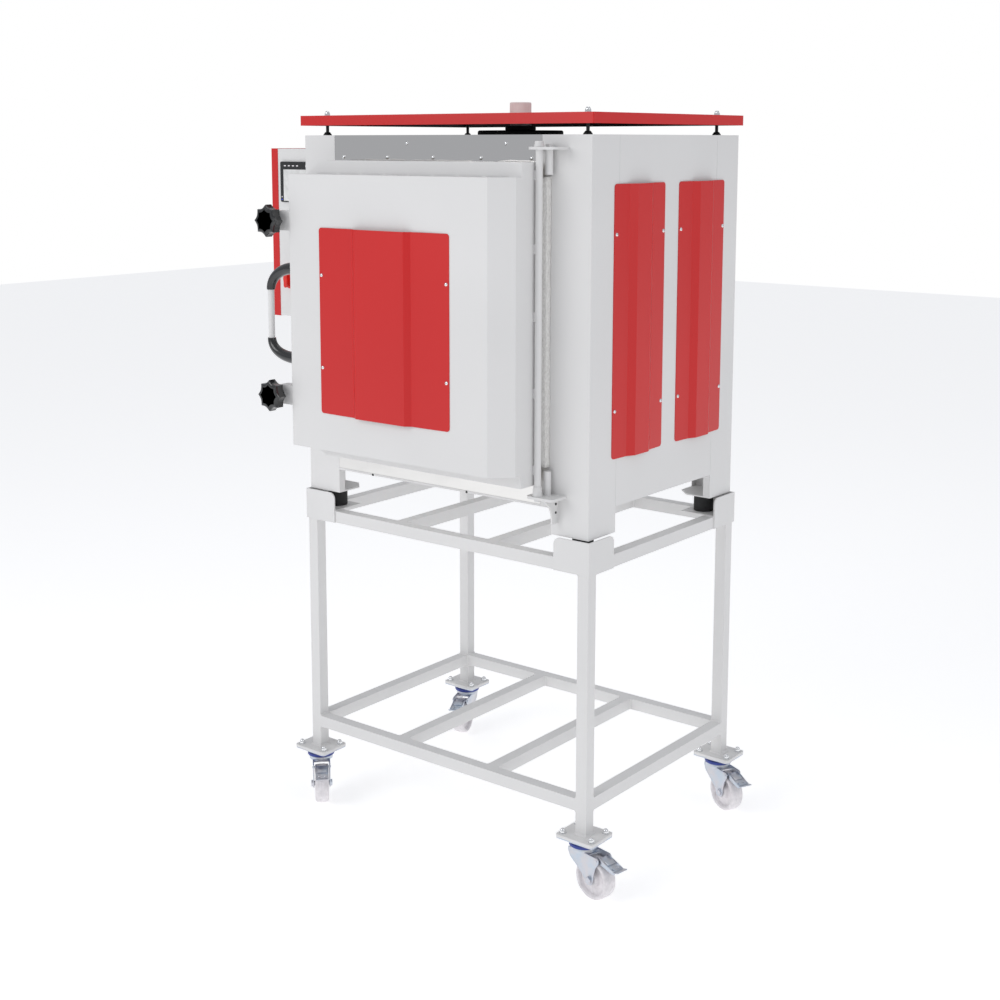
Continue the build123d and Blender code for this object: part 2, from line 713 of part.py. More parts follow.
# Brick lining: floor, roof, two grooved side walls and a back wall
lining_left = CHAMBER_LEFT - BRICK_T
lining_right = CHAMBER_RIGHT + BRICK_T
lining_back = CHAMBER_BACK + BRICK_T
lining_depth = lining_back - LINING_FRONT
groove_pitch = (CHAMBER_H - 2 * GROOVE_MARGIN) / (GROOVES - 1)
groove_z = [CHAMBER_FLOOR + GROOVE_MARGIN + row * groove_pitch for row in range(GROOVES)]
groove_front = LINING_FRONT + BRICK_T / 2
with BuildPart() as firebrick_lining:
    with BuildSketch(facing(lining_back)):
        span(lining_left, lining_right, CHAMBER_FLOOR - BRICK_T, CHAMBER_FLOOR - JOINT)
        span(lining_left, lining_right, CHAMBER_TOP + JOINT, CHAMBER_TOP + BRICK_T)
        span(lining_left, CHAMBER_LEFT, CHAMBER_FLOOR, CHAMBER_TOP)
        span(CHAMBER_RIGHT, lining_right, CHAMBER_FLOOR, CHAMBER_TOP)
    extrude(amount=lining_depth)
    with BuildSketch(facing(lining_back)):
        span(CHAMBER_LEFT + JOINT, CHAMBER_RIGHT - JOINT, CHAMBER_FLOOR, CHAMBER_TOP)
    extrude(amount=BRICK_T)
    with BuildSketch(facing(CHAMBER_BACK)):
        for z in groove_z:
            floor, ceiling = z - GROOVE_H / 2, z + GROOVE_H / 2
            span(CHAMBER_LEFT - GROOVE_DEPTH, CHAMBER_LEFT, floor, ceiling)
            span(CHAMBER_RIGHT, CHAMBER_RIGHT + GROOVE_DEPTH, floor, ceiling)
    extrude(amount=CHAMBER_BACK - groove_front, mode=Mode.SUBTRACT)
    with BuildSketch(level(CHAMBER_TOP)):
        Circle(TUBE_D / 2 + JOINT)
    extrude(amount=BRICK_T, mode=Mode.SUBTRACT)
    with BuildSketch(facing(lining_back)):
        with Locations((CHAMBER_X, probe_z)):
            Circle(PROBE_D / 2 + JOINT)
    extrude(amount=BRICK_T, mode=Mode.SUBTRACT)
save(firebrick_lining, "firebrick_lining")

# Insulation boards between the bricks and the casing
with BuildPart() as backing_insulation:
    with BuildSketch(facing(HALF_D - SHEET - JOINT)):
        inset = SHEET + JOINT
        span(-HALF_W + inset, HALF_W - inset, BASE_Z + inset, TOP - inset)
    extrude(amount=CASE_D - 2 * inset)
    with BuildSketch(facing(lining_back + JOINT)):
        floor, ceiling = CHAMBER_FLOOR - BRICK_T - JOINT, CHAMBER_TOP + BRICK_T + JOINT
        span(lining_left - JOINT, lining_right + JOINT, floor, ceiling)
    extrude(amount=CASE_D, mode=Mode.SUBTRACT)
    with BuildSketch(level(CHAMBER_TOP)):
        Circle(TUBE_D / 2 + JOINT)
    extrude(amount=CHAMBER_DROP, mode=Mode.SUBTRACT)
    with BuildSketch(facing(HALF_D)):
        with Locations((CHAMBER_X, probe_z)):
            Circle(PROBE_D / 2 + JOINT)
    extrude(amount=HALF_D - lining_back, mode=Mode.SUBTRACT)
save(backing_insulation, "backing_insulation")

# Heating elements, lying in the grooves of both side walls
element_x = GROOVE_DEPTH - ELEMENT_D / 2 - JOINT
with BuildPart() as heating_elements:
    with BuildSketch(facing(CHAMBER_BACK - JOINT)):
        for z in groove_z:
            seat_z = z - GROOVE_H / 2 + ELEMENT_D / 2 + GAP
            with Locations((CHAMBER_LEFT - element_x, seat_z), (CHAMBER_RIGHT + element_x, seat_z)):
                Circle(ELEMENT_D / 2)
    extrude(amount=CHAMBER_BACK - groove_front - ELEMENT_END)
save(heating_elements, "heating_elements")

# Thermocouple: ceramic sheath through the back, with its head outside
with BuildPart() as thermocouple:
    with BuildSketch(facing(HALF_D)):
        with Locations((CHAMBER_X, probe_z)):
            Circle(PROBE_D / 2)
    extrude(amount=HALF_D - CHAMBER_BACK + PROBE_REACH)
    with BuildSketch(facing(HALF_D)):
        with Locations((CHAMBER_X, probe_z)):
            Circle(PROBE_HEAD_D / 2)
    extrude(amount=-PROBE_HEAD_L)
    chamfer(thermocouple.edges().sort_by(Axis.Y)[-1], BRACKET_T)
save(thermocouple, "thermocouple")

# Chimney tube from the chamber's ceiling to above the lid
chimney_top = TOP + LID_GAP + LID_H + CHIMNEY_ABOVE_LID
with BuildPart() as chimney_tube:
    with BuildSketch(level(CHAMBER_TOP)):
        Circle(TUBE_D / 2)
        Circle(TUBE_BORE / 2, mode=Mode.SUBTRACT)
    extrude(amount=chimney_top - CHAMBER_TOP)
save(chimney_tube, "chimney_tube")

# Flange round the chimney on the deck
with BuildPart() as chimney_flange:
    with BuildSketch(level(TOP)):
        Circle(FLANGE_D / 2)
        Circle(TUBE_D / 2 + JOINT, mode=Mode.SUBTRACT)
    extrude(amount=FLANGE_T)
    chamfer(chimney_flange.edges().group_by(Axis.Z)[-1].sort_by(SortBy.RADIUS)[-1], FLANGE_EDGE)
save(chimney_flange, "chimney_flange")

# Heat shield lid: a folded pan, open below
lid_z = TOP + LID_GAP
lid_w = CASE_W + 2 * LID_OVERHANG
lid_d = CASE_D + 2 * LID_OVERHANG
stud_places = [
    (side * (HALF_W - STUD_INSET), end * (HALF_D - STUD_INSET))
    for side in (-1, 1)
    for end in (-1, 1)
]
with BuildPart() as heat_shield_lid:
    with BuildSketch(level(lid_z)):
        RectangleRounded(lid_w, lid_d, LID_BEND)
    extrude(amount=LID_H)
    with BuildSketch(level(lid_z)):
        RectangleRounded(lid_w - 2 * LID_SHEET, lid_d - 2 * LID_SHEET, LID_BEND - LID_SHEET)
    extrude(amount=LID_H - LID_SHEET, mode=Mode.SUBTRACT)
    with BuildSketch(level(lid_z)):
        Circle(TUBE_D / 2 + LID_HOLE_PLAY)
        with Locations(*stud_places):
            Circle(STUD_D / 2 + HOLE_PLAY)
    extrude(amount=LID_H, mode=Mode.SUBTRACT)
save(heat_shield_lid, "heat_shield_lid")

# Studs that carry the lid, each with a cone foot and a nut under the sheet
with BuildPart() as lid_studs:
    with BuildSketch(level(TOP)):
        with Locations(*stud_places):
            Circle(STUD_D / 2)
    extrude(amount=LID_GAP + LID_H)
    for place in stud_places:
        with BuildSketch(level(TOP)):
            with Locations(place):
                Circle(STUD_FOOT_D / 2)
        with BuildSketch(level(TOP + STUD_FOOT_H)):
            with Locations(place):
                Circle(STUD_FOOT_TOP_D / 2)
        loft()
    with BuildSketch(level(lid_z + LID_H - LID_SHEET - NUT_H)):
        with Locations(*stud_places):
            RegularPolygon(NUT_D / 2, 6)
    extrude(amount=NUT_H)
save(lid_studs, "lid_studs")

# Cap nuts on the lid
with BuildPart() as lid_cap_nuts:
    with BuildSketch(level(lid_z + LID_H)):
        with Locations(*stud_places):
            RegularPolygon(NUT_D / 2, 6)
    extrude(amount=NUT_H)
    with BuildSketch(level(lid_z + LID_H + NUT_H)):
        with Locations(*stud_places):
            Circle(CAP_DOME_D / 2)
    extrude(amount=CAP_DOME_H, taper=DOME_TAPER)
save(lid_cap_nuts, "lid_cap_nuts")


def pressed_cover(plane, width, crown_w, bevel_w, height):
    """Ventilation cover bent from one sheet: flat wings, two bevels and a raised crown.

    The plane is level, with its local Y out of the wall that the cover sits on.
    """
    crown = crown_w / 2
    wing = crown + bevel_w
    half = width / 2
    shoulder = COVER_SHEET + WING_RISE
    top = COVER_SHEET + COVER_RISE
    with BuildPart() as cover:
        with BuildSketch(plane):
            with BuildLine():
                outer = Polyline((0, top), (crown, top), (wing, shoulder), (half, COVER_SHEET))
                Line(outer @ 1, (half, 0))
                Polyline((half, 0), (wing, WING_RISE), (crown, COVER_RISE), (0, COVER_RISE))
                mirror(about=Plane.YZ)
            make_face()
        extrude(amount=height)
        tips = cover.edges().filter_by(lambda e: abs(e.length - COVER_SHEET) < MATCH)
        across = tips.filter_by(Axis((0, 0, 0), plane.y_dir))
        fillet(across, COVER_CORNER)
    return cover


def side_cover_plane(side, y):
    """Level plane on a side wall at y, with its local Y pointing out of the wall."""
    return Plane(
        origin=(KILN_X + side * HALF_W, KILN_Y + y, TOP - VENT_DROP - VENT_H),
        x_dir=(0, -side, 0),
        z_dir=(0, 0, 1),
    )


# Red ventilation covers on the two sides; the control box takes the left front place
vent_seats = [(1, FRONT + VENT_FRONT), (1, HALF_D - VENT_REAR), (-1, HALF_D - VENT_REAR)]
vent_covers = [
    pressed_cover(side_cover_plane(side, y), VENT_W, VENT_CROWN_W, VENT_BEVEL_W, VENT_H)
    for side, y in vent_seats
]
with BuildPart() as side_vent_covers:
    for cover in vent_covers:
        add(cover.part)
save(side_vent_covers, "side_vent_covers")

# Screws of the fascia and of the side covers
fascia_w = fascia_right - fascia_left
screw_pitch = (fascia_w - 2 * FASCIA_SCREW_MARGIN) / (FASCIA_LOW_SCREWS - 1)
fascia_screws = [
    (fascia_left + FASCIA_SCREW_MARGIN + place * screw_pitch, TOP - FASCIA_LOW_SCREW_DROP)
    for place in range(FASCIA_LOW_SCREWS)
]
fascia_screws += [
    (fascia_left + share * fascia_w, TOP - FASCIA_TOP_SCREW_DROP)
    for share in FASCIA_TOP_SCREW_SHARES
]
vent_half = VENT_W / 2 - VENT_SCREW_INSET
vent_wing = VENT_W / 2 - VENT_CROWN_W / 2 - VENT_BEVEL_W
screw_reach = VENT_SCREW_INSET + SCREW_HEAD_D / 2
vent_screw_out = HALF_W + COVER_SHEET + WING_RISE * screw_reach / vent_wing


def vent_screws(side):
    """Screw heads on the covers of one side wall."""
    seats = [y for wall, y in vent_seats if wall == side]
    places = [
        (y + shift, TOP - VENT_DROP - share * VENT_H)
        for y in seats
        for shift in (-vent_half, vent_half)
        for share in VENT_SCREW_SHARES
    ]
    wall = flank(vent_screw_out)
    if side < 0:
        wall = Plane(
            origin=(KILN_X - vent_screw_out, KILN_Y, 0), x_dir=(0, -1, 0), z_dir=(-1, 0, 0)
        )
        places = [(-y, z) for y, z in places]
    return screw_heads(wall, places)


fascia_heads = screw_heads(facing(FRONT), fascia_screws)
right_heads = vent_screws(1)
left_heads = vent_screws(-1)
with BuildPart() as casing_screws:
    add(fascia_heads.part)
    add(right_heads.part)
    add(left_heads.part)
save(casing_screws, "casing_screws")

# Hinge brackets on the right front post; the lower one has a gusset
upper_bracket_z = TOP - UPPER_BRACKET_DROP - BRACKET_T
lower_bracket_z = BASE_Z + LOWER_BRACKET_RISE - BRACKET_T
rod_y = FRONT - ROD_OUT
stop_bar_y = FRONT - STOP_BAR_OUT
with BuildPart() as hinge_brackets:
    with BuildSketch(flank(ROD_X + GUSSET_SHIFT - GUSSET_T / 2)):
        with BuildLine():
            low = lower_bracket_z - GUSSET_H
            toe = (FRONT - GUSSET_ROOT, low)
            nose = (FRONT - BRACKET_OUT, lower_bracket_z)
            Polyline(nose, (FRONT, lower_bracket_z), (FRONT, low), toe)
            ThreePointArc(toe, (FRONT - GUSSET_ROOT - GUSSET_T, low + GUSSET_H / 2), nose)
        make_face()
    extrude(amount=GUSSET_T)
    for z in (upper_bracket_z, lower_bracket_z):
        with BuildSketch(level(z)) as plate:
            with Locations((ROD_X + BRACKET_SHIFT, FRONT - BRACKET_OUT / 2)):
                Rectangle(BRACKET_W, BRACKET_OUT)
            fillet(plate.vertices().group_by(Axis.Y)[0], BRACKET_CORNER)
            with Locations((ROD_X, rod_y)):
                Circle(ROD_D / 2 + FIT, mode=Mode.SUBTRACT)
        extrude(amount=BRACKET_T)
save(hinge_brackets, "hinge_brackets")

# Short bars bolted to the brackets, above and below the seal
with BuildPart() as hinge_bracket_bolts:
    for z, inward in ((upper_bracket_z, -1), (lower_bracket_z + BRACKET_T, 1)):
        with BuildSketch(level(z)):
            with Locations((ROD_X + STOP_BAR_SHIFT, stop_bar_y)):
                Circle(STOP_BAR_D / 2)
        extrude(amount=inward * STOP_BAR_L)
    for z, outward in ((upper_bracket_z + BRACKET_T, 1), (lower_bracket_z, -1)):
        with BuildSketch(level(z)):
            with Locations((ROD_X + STOP_BAR_SHIFT, stop_bar_y)):
                RegularPolygon(STOP_BOLT_HEAD_D / 2, 6)
        extrude(amount=outward * STOP_BOLT_HEAD_H)
save(hinge_bracket_bolts, "hinge_bracket_bolts")

# Hinge rod: turns in both brackets, rests on the lower one with its collar
rod_bottom = lower_bracket_z - ROD_TAIL
collar_z = lower_bracket_z + BRACKET_T + GAP
rod_nut_z = upper_bracket_z + BRACKET_T + GAP
with BuildPart() as hinge_rod:
    with BuildSketch(level(rod_bottom)):
        with Locations((ROD_X, rod_y)):
            Circle(ROD_D / 2)
    extrude(amount=rod_nut_z + ROD_NUT_H - rod_bottom)
    with BuildSketch(level(collar_z)):
        with Locations((ROD_X, rod_y)):
            Circle(COLLAR_D / 2)
    extrude(amount=COLLAR_H, taper=COLLAR_TAPER)
    with BuildSketch(level(rod_nut_z)):
        with Locations((ROD_X, rod_y)):
            Circle(ROD_NUT_D / 2)
    extrude(amount=ROD_NUT_H, taper=ROD_NUT_TAPER)
    with BuildSketch(facing(rod_y - TAB_T / 2)):
        for share in TAB_SHARES:
            tab_z = TOP - TRAY_DROP - share * TRAY_H
            span(TRAY_RIGHT, ROD_X, tab_z - TAB_H / 2, tab_z + TAB_H / 2)
    extrude(amount=-TAB_T)
save(hinge_rod, "hinge_rod")

# Door tray: folded pan with its left corners cut off, open to the chamber
tray_top = TOP - TRAY_DROP
tray_bottom = tray_top - TRAY_H


def tray_outline(inset):
    """Corners of the door tray's outline, drawn inward by inset."""
    left, right = TRAY_LEFT + inset, TRAY_RIGHT - inset
    low, high = tray_bottom + inset, tray_top - inset
    return (
        (right, low),
        (right, high),
        (left + TRAY_CHAMFER_X, high),
        (left, high - TRAY_CHAMFER_Z),
        (left, low + TRAY_CHAMFER_Z),
        (left + TRAY_CHAMFER_X, low),
    )


with BuildPart() as door_tray:
    with BuildSketch(facing(FRONT - TRAY_BACK)):
        with BuildLine():
            Polyline(*tray_outline(0), close=True)
        make_face()
    extrude(amount=TRAY_FRONT - TRAY_BACK)
    with BuildSketch(facing(FRONT - TRAY_BACK)):
        with BuildLine():
            Polyline(*tray_outline(SHEET), close=True)
        make_face()
    extrude(amount=TRAY_FRONT - TRAY_BACK - SHEET, mode=Mode.SUBTRACT)
save(door_tray, "door_tray")

# Insulating block of the door, with a tapered plug that closes the chamber's mouth
with BuildPart() as door_brick:
    with BuildSketch(facing(FRONT - TRAY_BACK)):
        with BuildLine():
            Polyline(*tray_outline(SHEET), close=True)
        make_face()
    extrude(amount=TRAY_FRONT - TRAY_BACK - SHEET)
    with BuildSketch(facing(FRONT - TRAY_BACK)):
        with Locations((CHAMBER_X, CHAMBER_FLOOR + CHAMBER_H / 2)):
            Rectangle(CHAMBER_W - 2 * PLUG_PLAY, CHAMBER_H - 2 * PLUG_PLAY)
    extrude(amount=-TRAY_BACK - PLUG_DEPTH, taper=PLUG_TAPER)
save(door_brick, "door_brick")

# Fibre seal round the plug, relieved at the edge that swings past the post
seal_top = TOP - SEAL_DROP
seal_front = FRONT - TRAY_BACK
seal_back = FRONT - GAP
with BuildPart() as door_seal:
    with BuildSketch(facing(seal_back)):
        span(SEAL_LEFT, SEAL_RIGHT, seal_top - SEAL_H, seal_top)
        with Locations((CHAMBER_X, CHAMBER_FLOOR + CHAMBER_H / 2)):
            Rectangle(CHAMBER_W + 2 * SEAL_LAP, CHAMBER_H + 2 * SEAL_LAP, mode=Mode.SUBTRACT)
    extrude(amount=seal_back - seal_front)
    hinge_edge = door_seal.edges().filter_by(Axis.Z).sort_by(Axis.X)[-2:].sort_by(Axis.Y)[-1]
    chamfer(hinge_edge, SEAL_RELIEF)
save(door_seal, "door_seal")

# Door cover: folded pan with a bevelled hinge edge and slots round its back edge
cover_top = TOP - COVER_DROP
cover_bottom = cover_top - COVER_H
cover_back = FRONT - TRAY_FRONT
cover_front = FRONT - COVER_FRONT


def cover_outline(inset):
    """Corners of the door cover's plan, drawn inward by inset."""
    return (
        (COVER_LEFT + inset, cover_back),
        (COVER_LEFT + inset, cover_front + inset),
        (COVER_BEVEL_X - COVER_BEVEL_SHARE * inset, cover_front + inset),
        (TRAY_RIGHT - inset, FRONT - COVER_BEVEL_OUT + COVER_BEVEL_SHARE * inset),
        (TRAY_RIGHT - inset, cover_back),
    )


slot_x = (COVER_LEFT + TRAY_RIGHT) / 2
slot_pitch = (TRAY_RIGHT - COVER_LEFT - 2 * SLOT_MARGIN) / SLOTS
with BuildPart() as door_cover:
    with BuildSketch(level(cover_bottom)):
        with BuildLine():
            Polyline(*cover_outline(0), close=True)
        make_face()
    extrude(amount=COVER_H)
    fillet(door_cover.edges().filter_by(Axis.Z).group_by(Axis.Y)[0], COVER_BEND)
    with BuildSketch(level(cover_bottom + SHEET)):
        with BuildLine():
            Polyline(*cover_outline(SHEET), close=True)
        make_face()
    extrude(amount=COVER_H - 2 * SHEET, mode=Mode.SUBTRACT)
    with BuildSketch(level(cover_bottom)):
        with Locations((slot_x, cover_back - SLOT_DEPTH / 2)):
            with GridLocations(slot_pitch, SLOT_DEPTH, SLOTS, 1):
                Rectangle(slot_pitch - SLOT_BRIDGE, SLOT_DEPTH)
    extrude(amount=COVER_H, mode=Mode.SUBTRACT)
save(door_cover, "door_cover")

# Red ventilation panel on the door
door_vent_left = COVER_LEFT + DOOR_VENT_LEFT_MARGIN
door_vent_right = COVER_BEVEL_X - DOOR_VENT_RIGHT_MARGIN
door_vent_x = (door_vent_left + door_vent_right) / 2
door_vent_w = door_vent_right - door_vent_left
door_vent_h = COVER_H - DOOR_VENT_TOP_MARGIN - DOOR_VENT_FOOT_MARGIN
door_vent_z = cover_bottom + DOOR_VENT_FOOT_MARGIN
door_panel_plane = Plane(
    origin=(KILN_X + door_vent_x, KILN_Y + cover_front, door_vent_z),
    x_dir=(-1, 0, 0),
    z_dir=(0, 0, 1),
)
door_vent_panel = pressed_cover(
    door_panel_plane, door_vent_w, DOOR_VENT_CROWN_W, DOOR_VENT_BEVEL_W, door_vent_h
)
save(door_vent_panel, "door_vent_panel")

# Its screws
door_wing = door_vent_w / 2 - DOOR_VENT_CROWN_W / 2 - DOOR_VENT_BEVEL_W
door_screw_reach = DOOR_SCREW_INSET + SCREW_HEAD_D / 2
door_screw_out = COVER_SHEET + WING_RISE * door_screw_reach / door_wing
door_screw_half = door_vent_w / 2 - DOOR_SCREW_INSET
door_panel_screws = screw_heads(
    facing(cover_front - door_screw_out),
    [
        (door_vent_x + shift, door_vent_z + (1 - share) * door_vent_h)
        for shift in (-door_screw_half, door_screw_half)
        for share in DOOR_SCREW_SHARES
    ],
)
save(door_panel_screws, "door_panel_screws")

# Lugs on the door's left edge, which guide the clamp studs
lug_back = FRONT - LUG_OUT + LUG_T
with BuildPart() as clamp_lugs:
    for drop in CLAMP_DROPS.values():
        with BuildSketch(facing(lug_back)) as lug:
            with Locations((CLAMP_X, TOP - drop)):
                Circle(LUG_H / 2)
            span(CLAMP_X, COVER_LEFT, TOP - drop - LUG_H / 2, TOP - drop + LUG_H / 2)
            with Locations((CLAMP_X, TOP - drop)):
                Circle(CLAMP_STUD_D / 2 + FIT, mode=Mode.SUBTRACT)
        extrude(amount=LUG_T)
save(clamp_lugs, "clamp_lugs")

# Clamps: a stud with a collar slides in each lug, and a star knob turns on its front end
collar_y = FRONT - LUG_OUT - GAP
hub_y = collar_y - COLLAR_RIM_T
star_y = hub_y - KNOB_HUB_H
nose_y = hub_y - CLAMP_NOSE
stud_r = CLAMP_STUD_D / 2
for name, drop in CLAMP_DROPS.items():
    centre = (CLAMP_X, TOP - drop)
    with BuildPart() as stud:
        with BuildSketch(facing(FRONT - CLAMP_TIP_GAP)):
            with Locations(centre):
                Circle(stud_r)
        extrude(amount=FRONT - CLAMP_TIP_GAP - nose_y)
        chamfer(stud.edges().group_by(Axis.Y)[-1], COVER_SHEET)
        with BuildSketch(facing(collar_y)):
            with Locations(centre):
                Circle(COLLAR_RIM_D / 2)
        extrude(amount=COLLAR_RIM_T)
    save(stud, f"{name}_clamp_stud")

    with BuildPart() as knob:
        with BuildSketch(facing(star_y)):
            with Locations(centre):
                Circle(KNOB_D / 2)
                with PolarLocations(KNOB_D / 2 + KNOB_SCALLOP_R - KNOB_SCALLOP_DEPTH, KNOB_POINTS):
                    Circle(KNOB_SCALLOP_R, mode=Mode.SUBTRACT)
        extrude(amount=KNOB_H)
        chamfer(knob.edges().group_by(Axis.Y)[0], KNOB_EDGE)
        with BuildSketch(facing(hub_y)):
            with Locations(centre):
                Circle(KNOB_HUB_D / 2)
        extrude(amount=KNOB_HUB_H)
        with BuildSketch(facing(hub_y)):
            with Locations(centre):
                Circle(stud_r + FIT)
        extrude(amount=CLAMP_NOSE + GAP, mode=Mode.SUBTRACT)
    save(knob, f"{name}_clamp_knob")

# Bow handle: steel tube between two tapering elbows on the cover's left wall
handle_y = FRONT - HANDLE_OUT
handle_z = TOP - TRAY_DROP - HANDLE_SHARE * TRAY_H
with BuildPart() as handle_elbows:
    for turn in (1, -1):
        root_z = handle_z + turn * HANDLE_ROOT_PITCH / 2
        end_z = handle_z - HANDLE_SAG + turn * HANDLE_L / 2
        with BuildLine(facing(handle_y)) as route:
            Bezier(
                (COVER_LEFT, root_z),
                (COVER_LEFT - ELBOW_ARM, root_z),
                (HANDLE_X, end_z + turn * ELBOW_DROOP),
                (HANDLE_X, end_z),
            )
        for at, section_d in ((0, ELBOW_ROOT_D), (1, ELBOW_END_D)):
            with BuildSketch(Plane(route.line @ at, x_dir=(0, 1, 0), z_dir=route.line % at)):
                Circle(section_d / 2)
        sweep(path=route.line, multisection=True)
save(handle_elbows, "handle_elbows")

with BuildPart() as handle_tube:
    with BuildSketch(level(handle_z - HANDLE_SAG)):
        with Locations((HANDLE_X, handle_y)):
            Circle(HANDLE_D / 2)
    extrude(amount=HANDLE_L / 2, both=True)
save(handle_tube, "handle_tube")

# Control box on the left wall, open on its left, where the red cover closes it
box_right = -HALF_W
box_left = box_right - BOX_W
box_front = FRONT + BOX_SETBACK
box_back = box_front + BOX_D
box_top = TOP - BOX_DROP
box_bottom = box_top - BOX_H
panel_x = box_left + PANEL_INSET
panel_z = TOP - PANEL_DROP - PANEL_H / 2
switch_x = box_left + SWITCH_INSET
switch_z = TOP - SWITCH_DROP
gland_x = (box_left + box_right) / 2
gland_y = box_front + GLAND_SETBACK
with BuildPart() as control_box:
    with BuildSketch(flank(box_left)):
        span(box_front, box_back, box_bottom, box_top)
    extrude(amount=BOX_W)
    with BuildSketch(flank(box_left)):
        span(box_front + SHEET, box_back - SHEET, box_bottom + SHEET, box_top - SHEET)
    extrude(amount=BOX_W - SHEET, mode=Mode.SUBTRACT)
    with BuildSketch(facing(box_front + SHEET)):
        with Locations((panel_x, panel_z)):
            Rectangle(PANEL_BODY_W + JOINT, PANEL_BODY_W + JOINT)
        with Locations((switch_x, switch_z)):
            Circle(SWITCH_SHAFT_D / 2 + FIT)
    extrude(amount=SHEET, mode=Mode.SUBTRACT)
    with BuildSketch(level(box_bottom)):
        with Locations((gland_x, gland_y)):
            Circle(GLAND_D / 2 + JOINT)
    extrude(amount=SHEET, mode=Mode.SUBTRACT)
save(control_box, "control_box")

with BuildPart() as control_box_cover:
    with BuildSketch(flank(box_left)):
        lap = BOX_COVER_LAP
        span(box_front - lap, box_back + lap, box_bottom - lap, box_top + lap)
    extrude(amount=-BOX_COVER_T)
    with BuildSketch(flank(box_left)):
        span(box_front + lap, box_back - lap, box_bottom + lap, box_top - lap)
    extrude(amount=-BOX_COVER_T + SHEET, mode=Mode.SUBTRACT)
save(control_box_cover, "control_box_cover")

# Controller with its display panel and button
button_x = panel_x + BUTTON_SHIFT
button_z = TOP - BUTTON_DROP
with BuildPart() as controller:
    with BuildSketch(facing(box_front)):
        with Locations((panel_x, panel_z)):
            RectangleRounded(PANEL_W, PANEL_H, PANEL_CORNER)
    extrude(amount=PANEL_T)
    with BuildSketch(facing(box_front)):
        with Locations((panel_x, panel_z)):
            Rectangle(PANEL_BODY_W, PANEL_BODY_W)
    extrude(amount=-PANEL_BODY_L)
    with BuildSketch(facing(box_front - PANEL_T)):
        with Locations((button_x, button_z)):
            Circle(BUTTON_D / 2 + FIT)
    extrude(amount=-PANEL_T, mode=Mode.SUBTRACT)
save(controller, "controller")

with BuildPart() as controller_button:
    with BuildSketch(facing(box_front - PANEL_T - BUTTON_OUT)):
        with Locations((button_x, button_z)):
            Circle(BUTTON_D / 2)
    extrude(amount=-BUTTON_OUT - PANEL_T + BUTTON_TRAVEL + JOINT)
    chamfer(controller_button.edges().group_by(Axis.Y)[0], HOLE_PLAY)
save(controller_button, "controller_button")

# Rotary power switch
switch_y = box_front - GAP
with BuildPart() as power_switch:
    with BuildSketch(facing(switch_y)):
        with Locations((switch_x, switch_z)):
            Circle(SWITCH_D / 2)
    extrude(amount=SWITCH_BASE_T)
    with BuildSketch(facing(switch_y - SWITCH_BASE_T)):
        with Locations((switch_x, switch_z)):
            SlotOverall(SWITCH_D - SWITCH_GRIP_W / 2, SWITCH_GRIP_W, rotation=90)
    extrude(amount=SWITCH_GRIP_H)
    with BuildSketch(facing(switch_y)):
        with Locations((switch_x, switch_z)):
            Circle(SWITCH_SHAFT_D / 2)
    extrude(amount=-SWITCH_SHAFT_L)
save(power_switch, "power_switch")

# Cable gland in the floor of the control box
with BuildPart() as cable_gland:
    with BuildSketch(level(box_bottom)):
        with Locations((gland_x, gland_y)):
            RegularPolygon(GLAND_NUT_D / 2, 6)
    extrude(amount=-GLAND_NUT_H)
    with BuildSketch(level(box_bottom - GLAND_NUT_H)):
        with Locations((gland_x, gland_y)):
            Circle(GLAND_NUT_D * GLAND_DOME_SHARE)
    extrude(amount=-GLAND_L, taper=GLAND_TAPER)
    with BuildSketch(level(box_bottom)):
        with Locations((gland_x, gland_y)):
            Circle(GLAND_D / 2)
    extrude(amount=SHEET + GLAND_NUT_H)
    with BuildSketch(level(box_bottom - GLAND_NUT_H - GLAND_L)):
        with Locations((gland_x, gland_y)):
            Circle(GLAND_BORE / 2)
    extrude(amount=GLAND_L + 2 * GLAND_NUT_H + SHEET, mode=Mode.SUBTRACT)
save(cable_gland, "cable_gland")
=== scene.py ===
# %% [markdown]
# # A ceramic kiln on a castor stand
# The real object is a firebrick box in a powder coated sheet casing, with a thick door on its
# front and a hot-air flue through its lid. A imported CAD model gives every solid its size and
# its moving body. This lesson dresses that frame: finishes first, then the pieces whose real
# surface has more in it than a CAD solid shows, such as the torn fibre seal or the castors.

# %% Load the frame
import json
from math import atan2, pi, radians, sin

import bmesh
import bpy
from mathutils import Matrix, Vector, noise


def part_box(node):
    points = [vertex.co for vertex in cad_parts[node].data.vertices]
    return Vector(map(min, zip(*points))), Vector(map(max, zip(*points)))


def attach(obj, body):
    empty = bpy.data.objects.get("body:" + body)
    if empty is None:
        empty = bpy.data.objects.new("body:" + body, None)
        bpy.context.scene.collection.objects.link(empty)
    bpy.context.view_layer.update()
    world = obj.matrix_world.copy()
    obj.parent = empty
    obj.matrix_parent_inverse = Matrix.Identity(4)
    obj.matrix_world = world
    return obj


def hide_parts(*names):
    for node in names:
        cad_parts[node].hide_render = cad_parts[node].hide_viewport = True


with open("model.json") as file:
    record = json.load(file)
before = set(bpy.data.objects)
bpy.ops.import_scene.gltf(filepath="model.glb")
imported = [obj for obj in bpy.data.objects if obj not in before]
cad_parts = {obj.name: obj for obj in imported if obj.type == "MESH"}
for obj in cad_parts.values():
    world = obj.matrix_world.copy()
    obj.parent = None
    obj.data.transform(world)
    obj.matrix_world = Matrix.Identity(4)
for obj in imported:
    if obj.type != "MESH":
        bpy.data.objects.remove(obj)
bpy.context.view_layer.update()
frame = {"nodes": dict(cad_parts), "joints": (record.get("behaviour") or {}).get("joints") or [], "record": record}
MM = 0.001

# %% [markdown]
# The CAD nodes give the places that the new pieces need. Reading them from the frame keeps
# both models together, so a changed casing moves the details that sit on it.

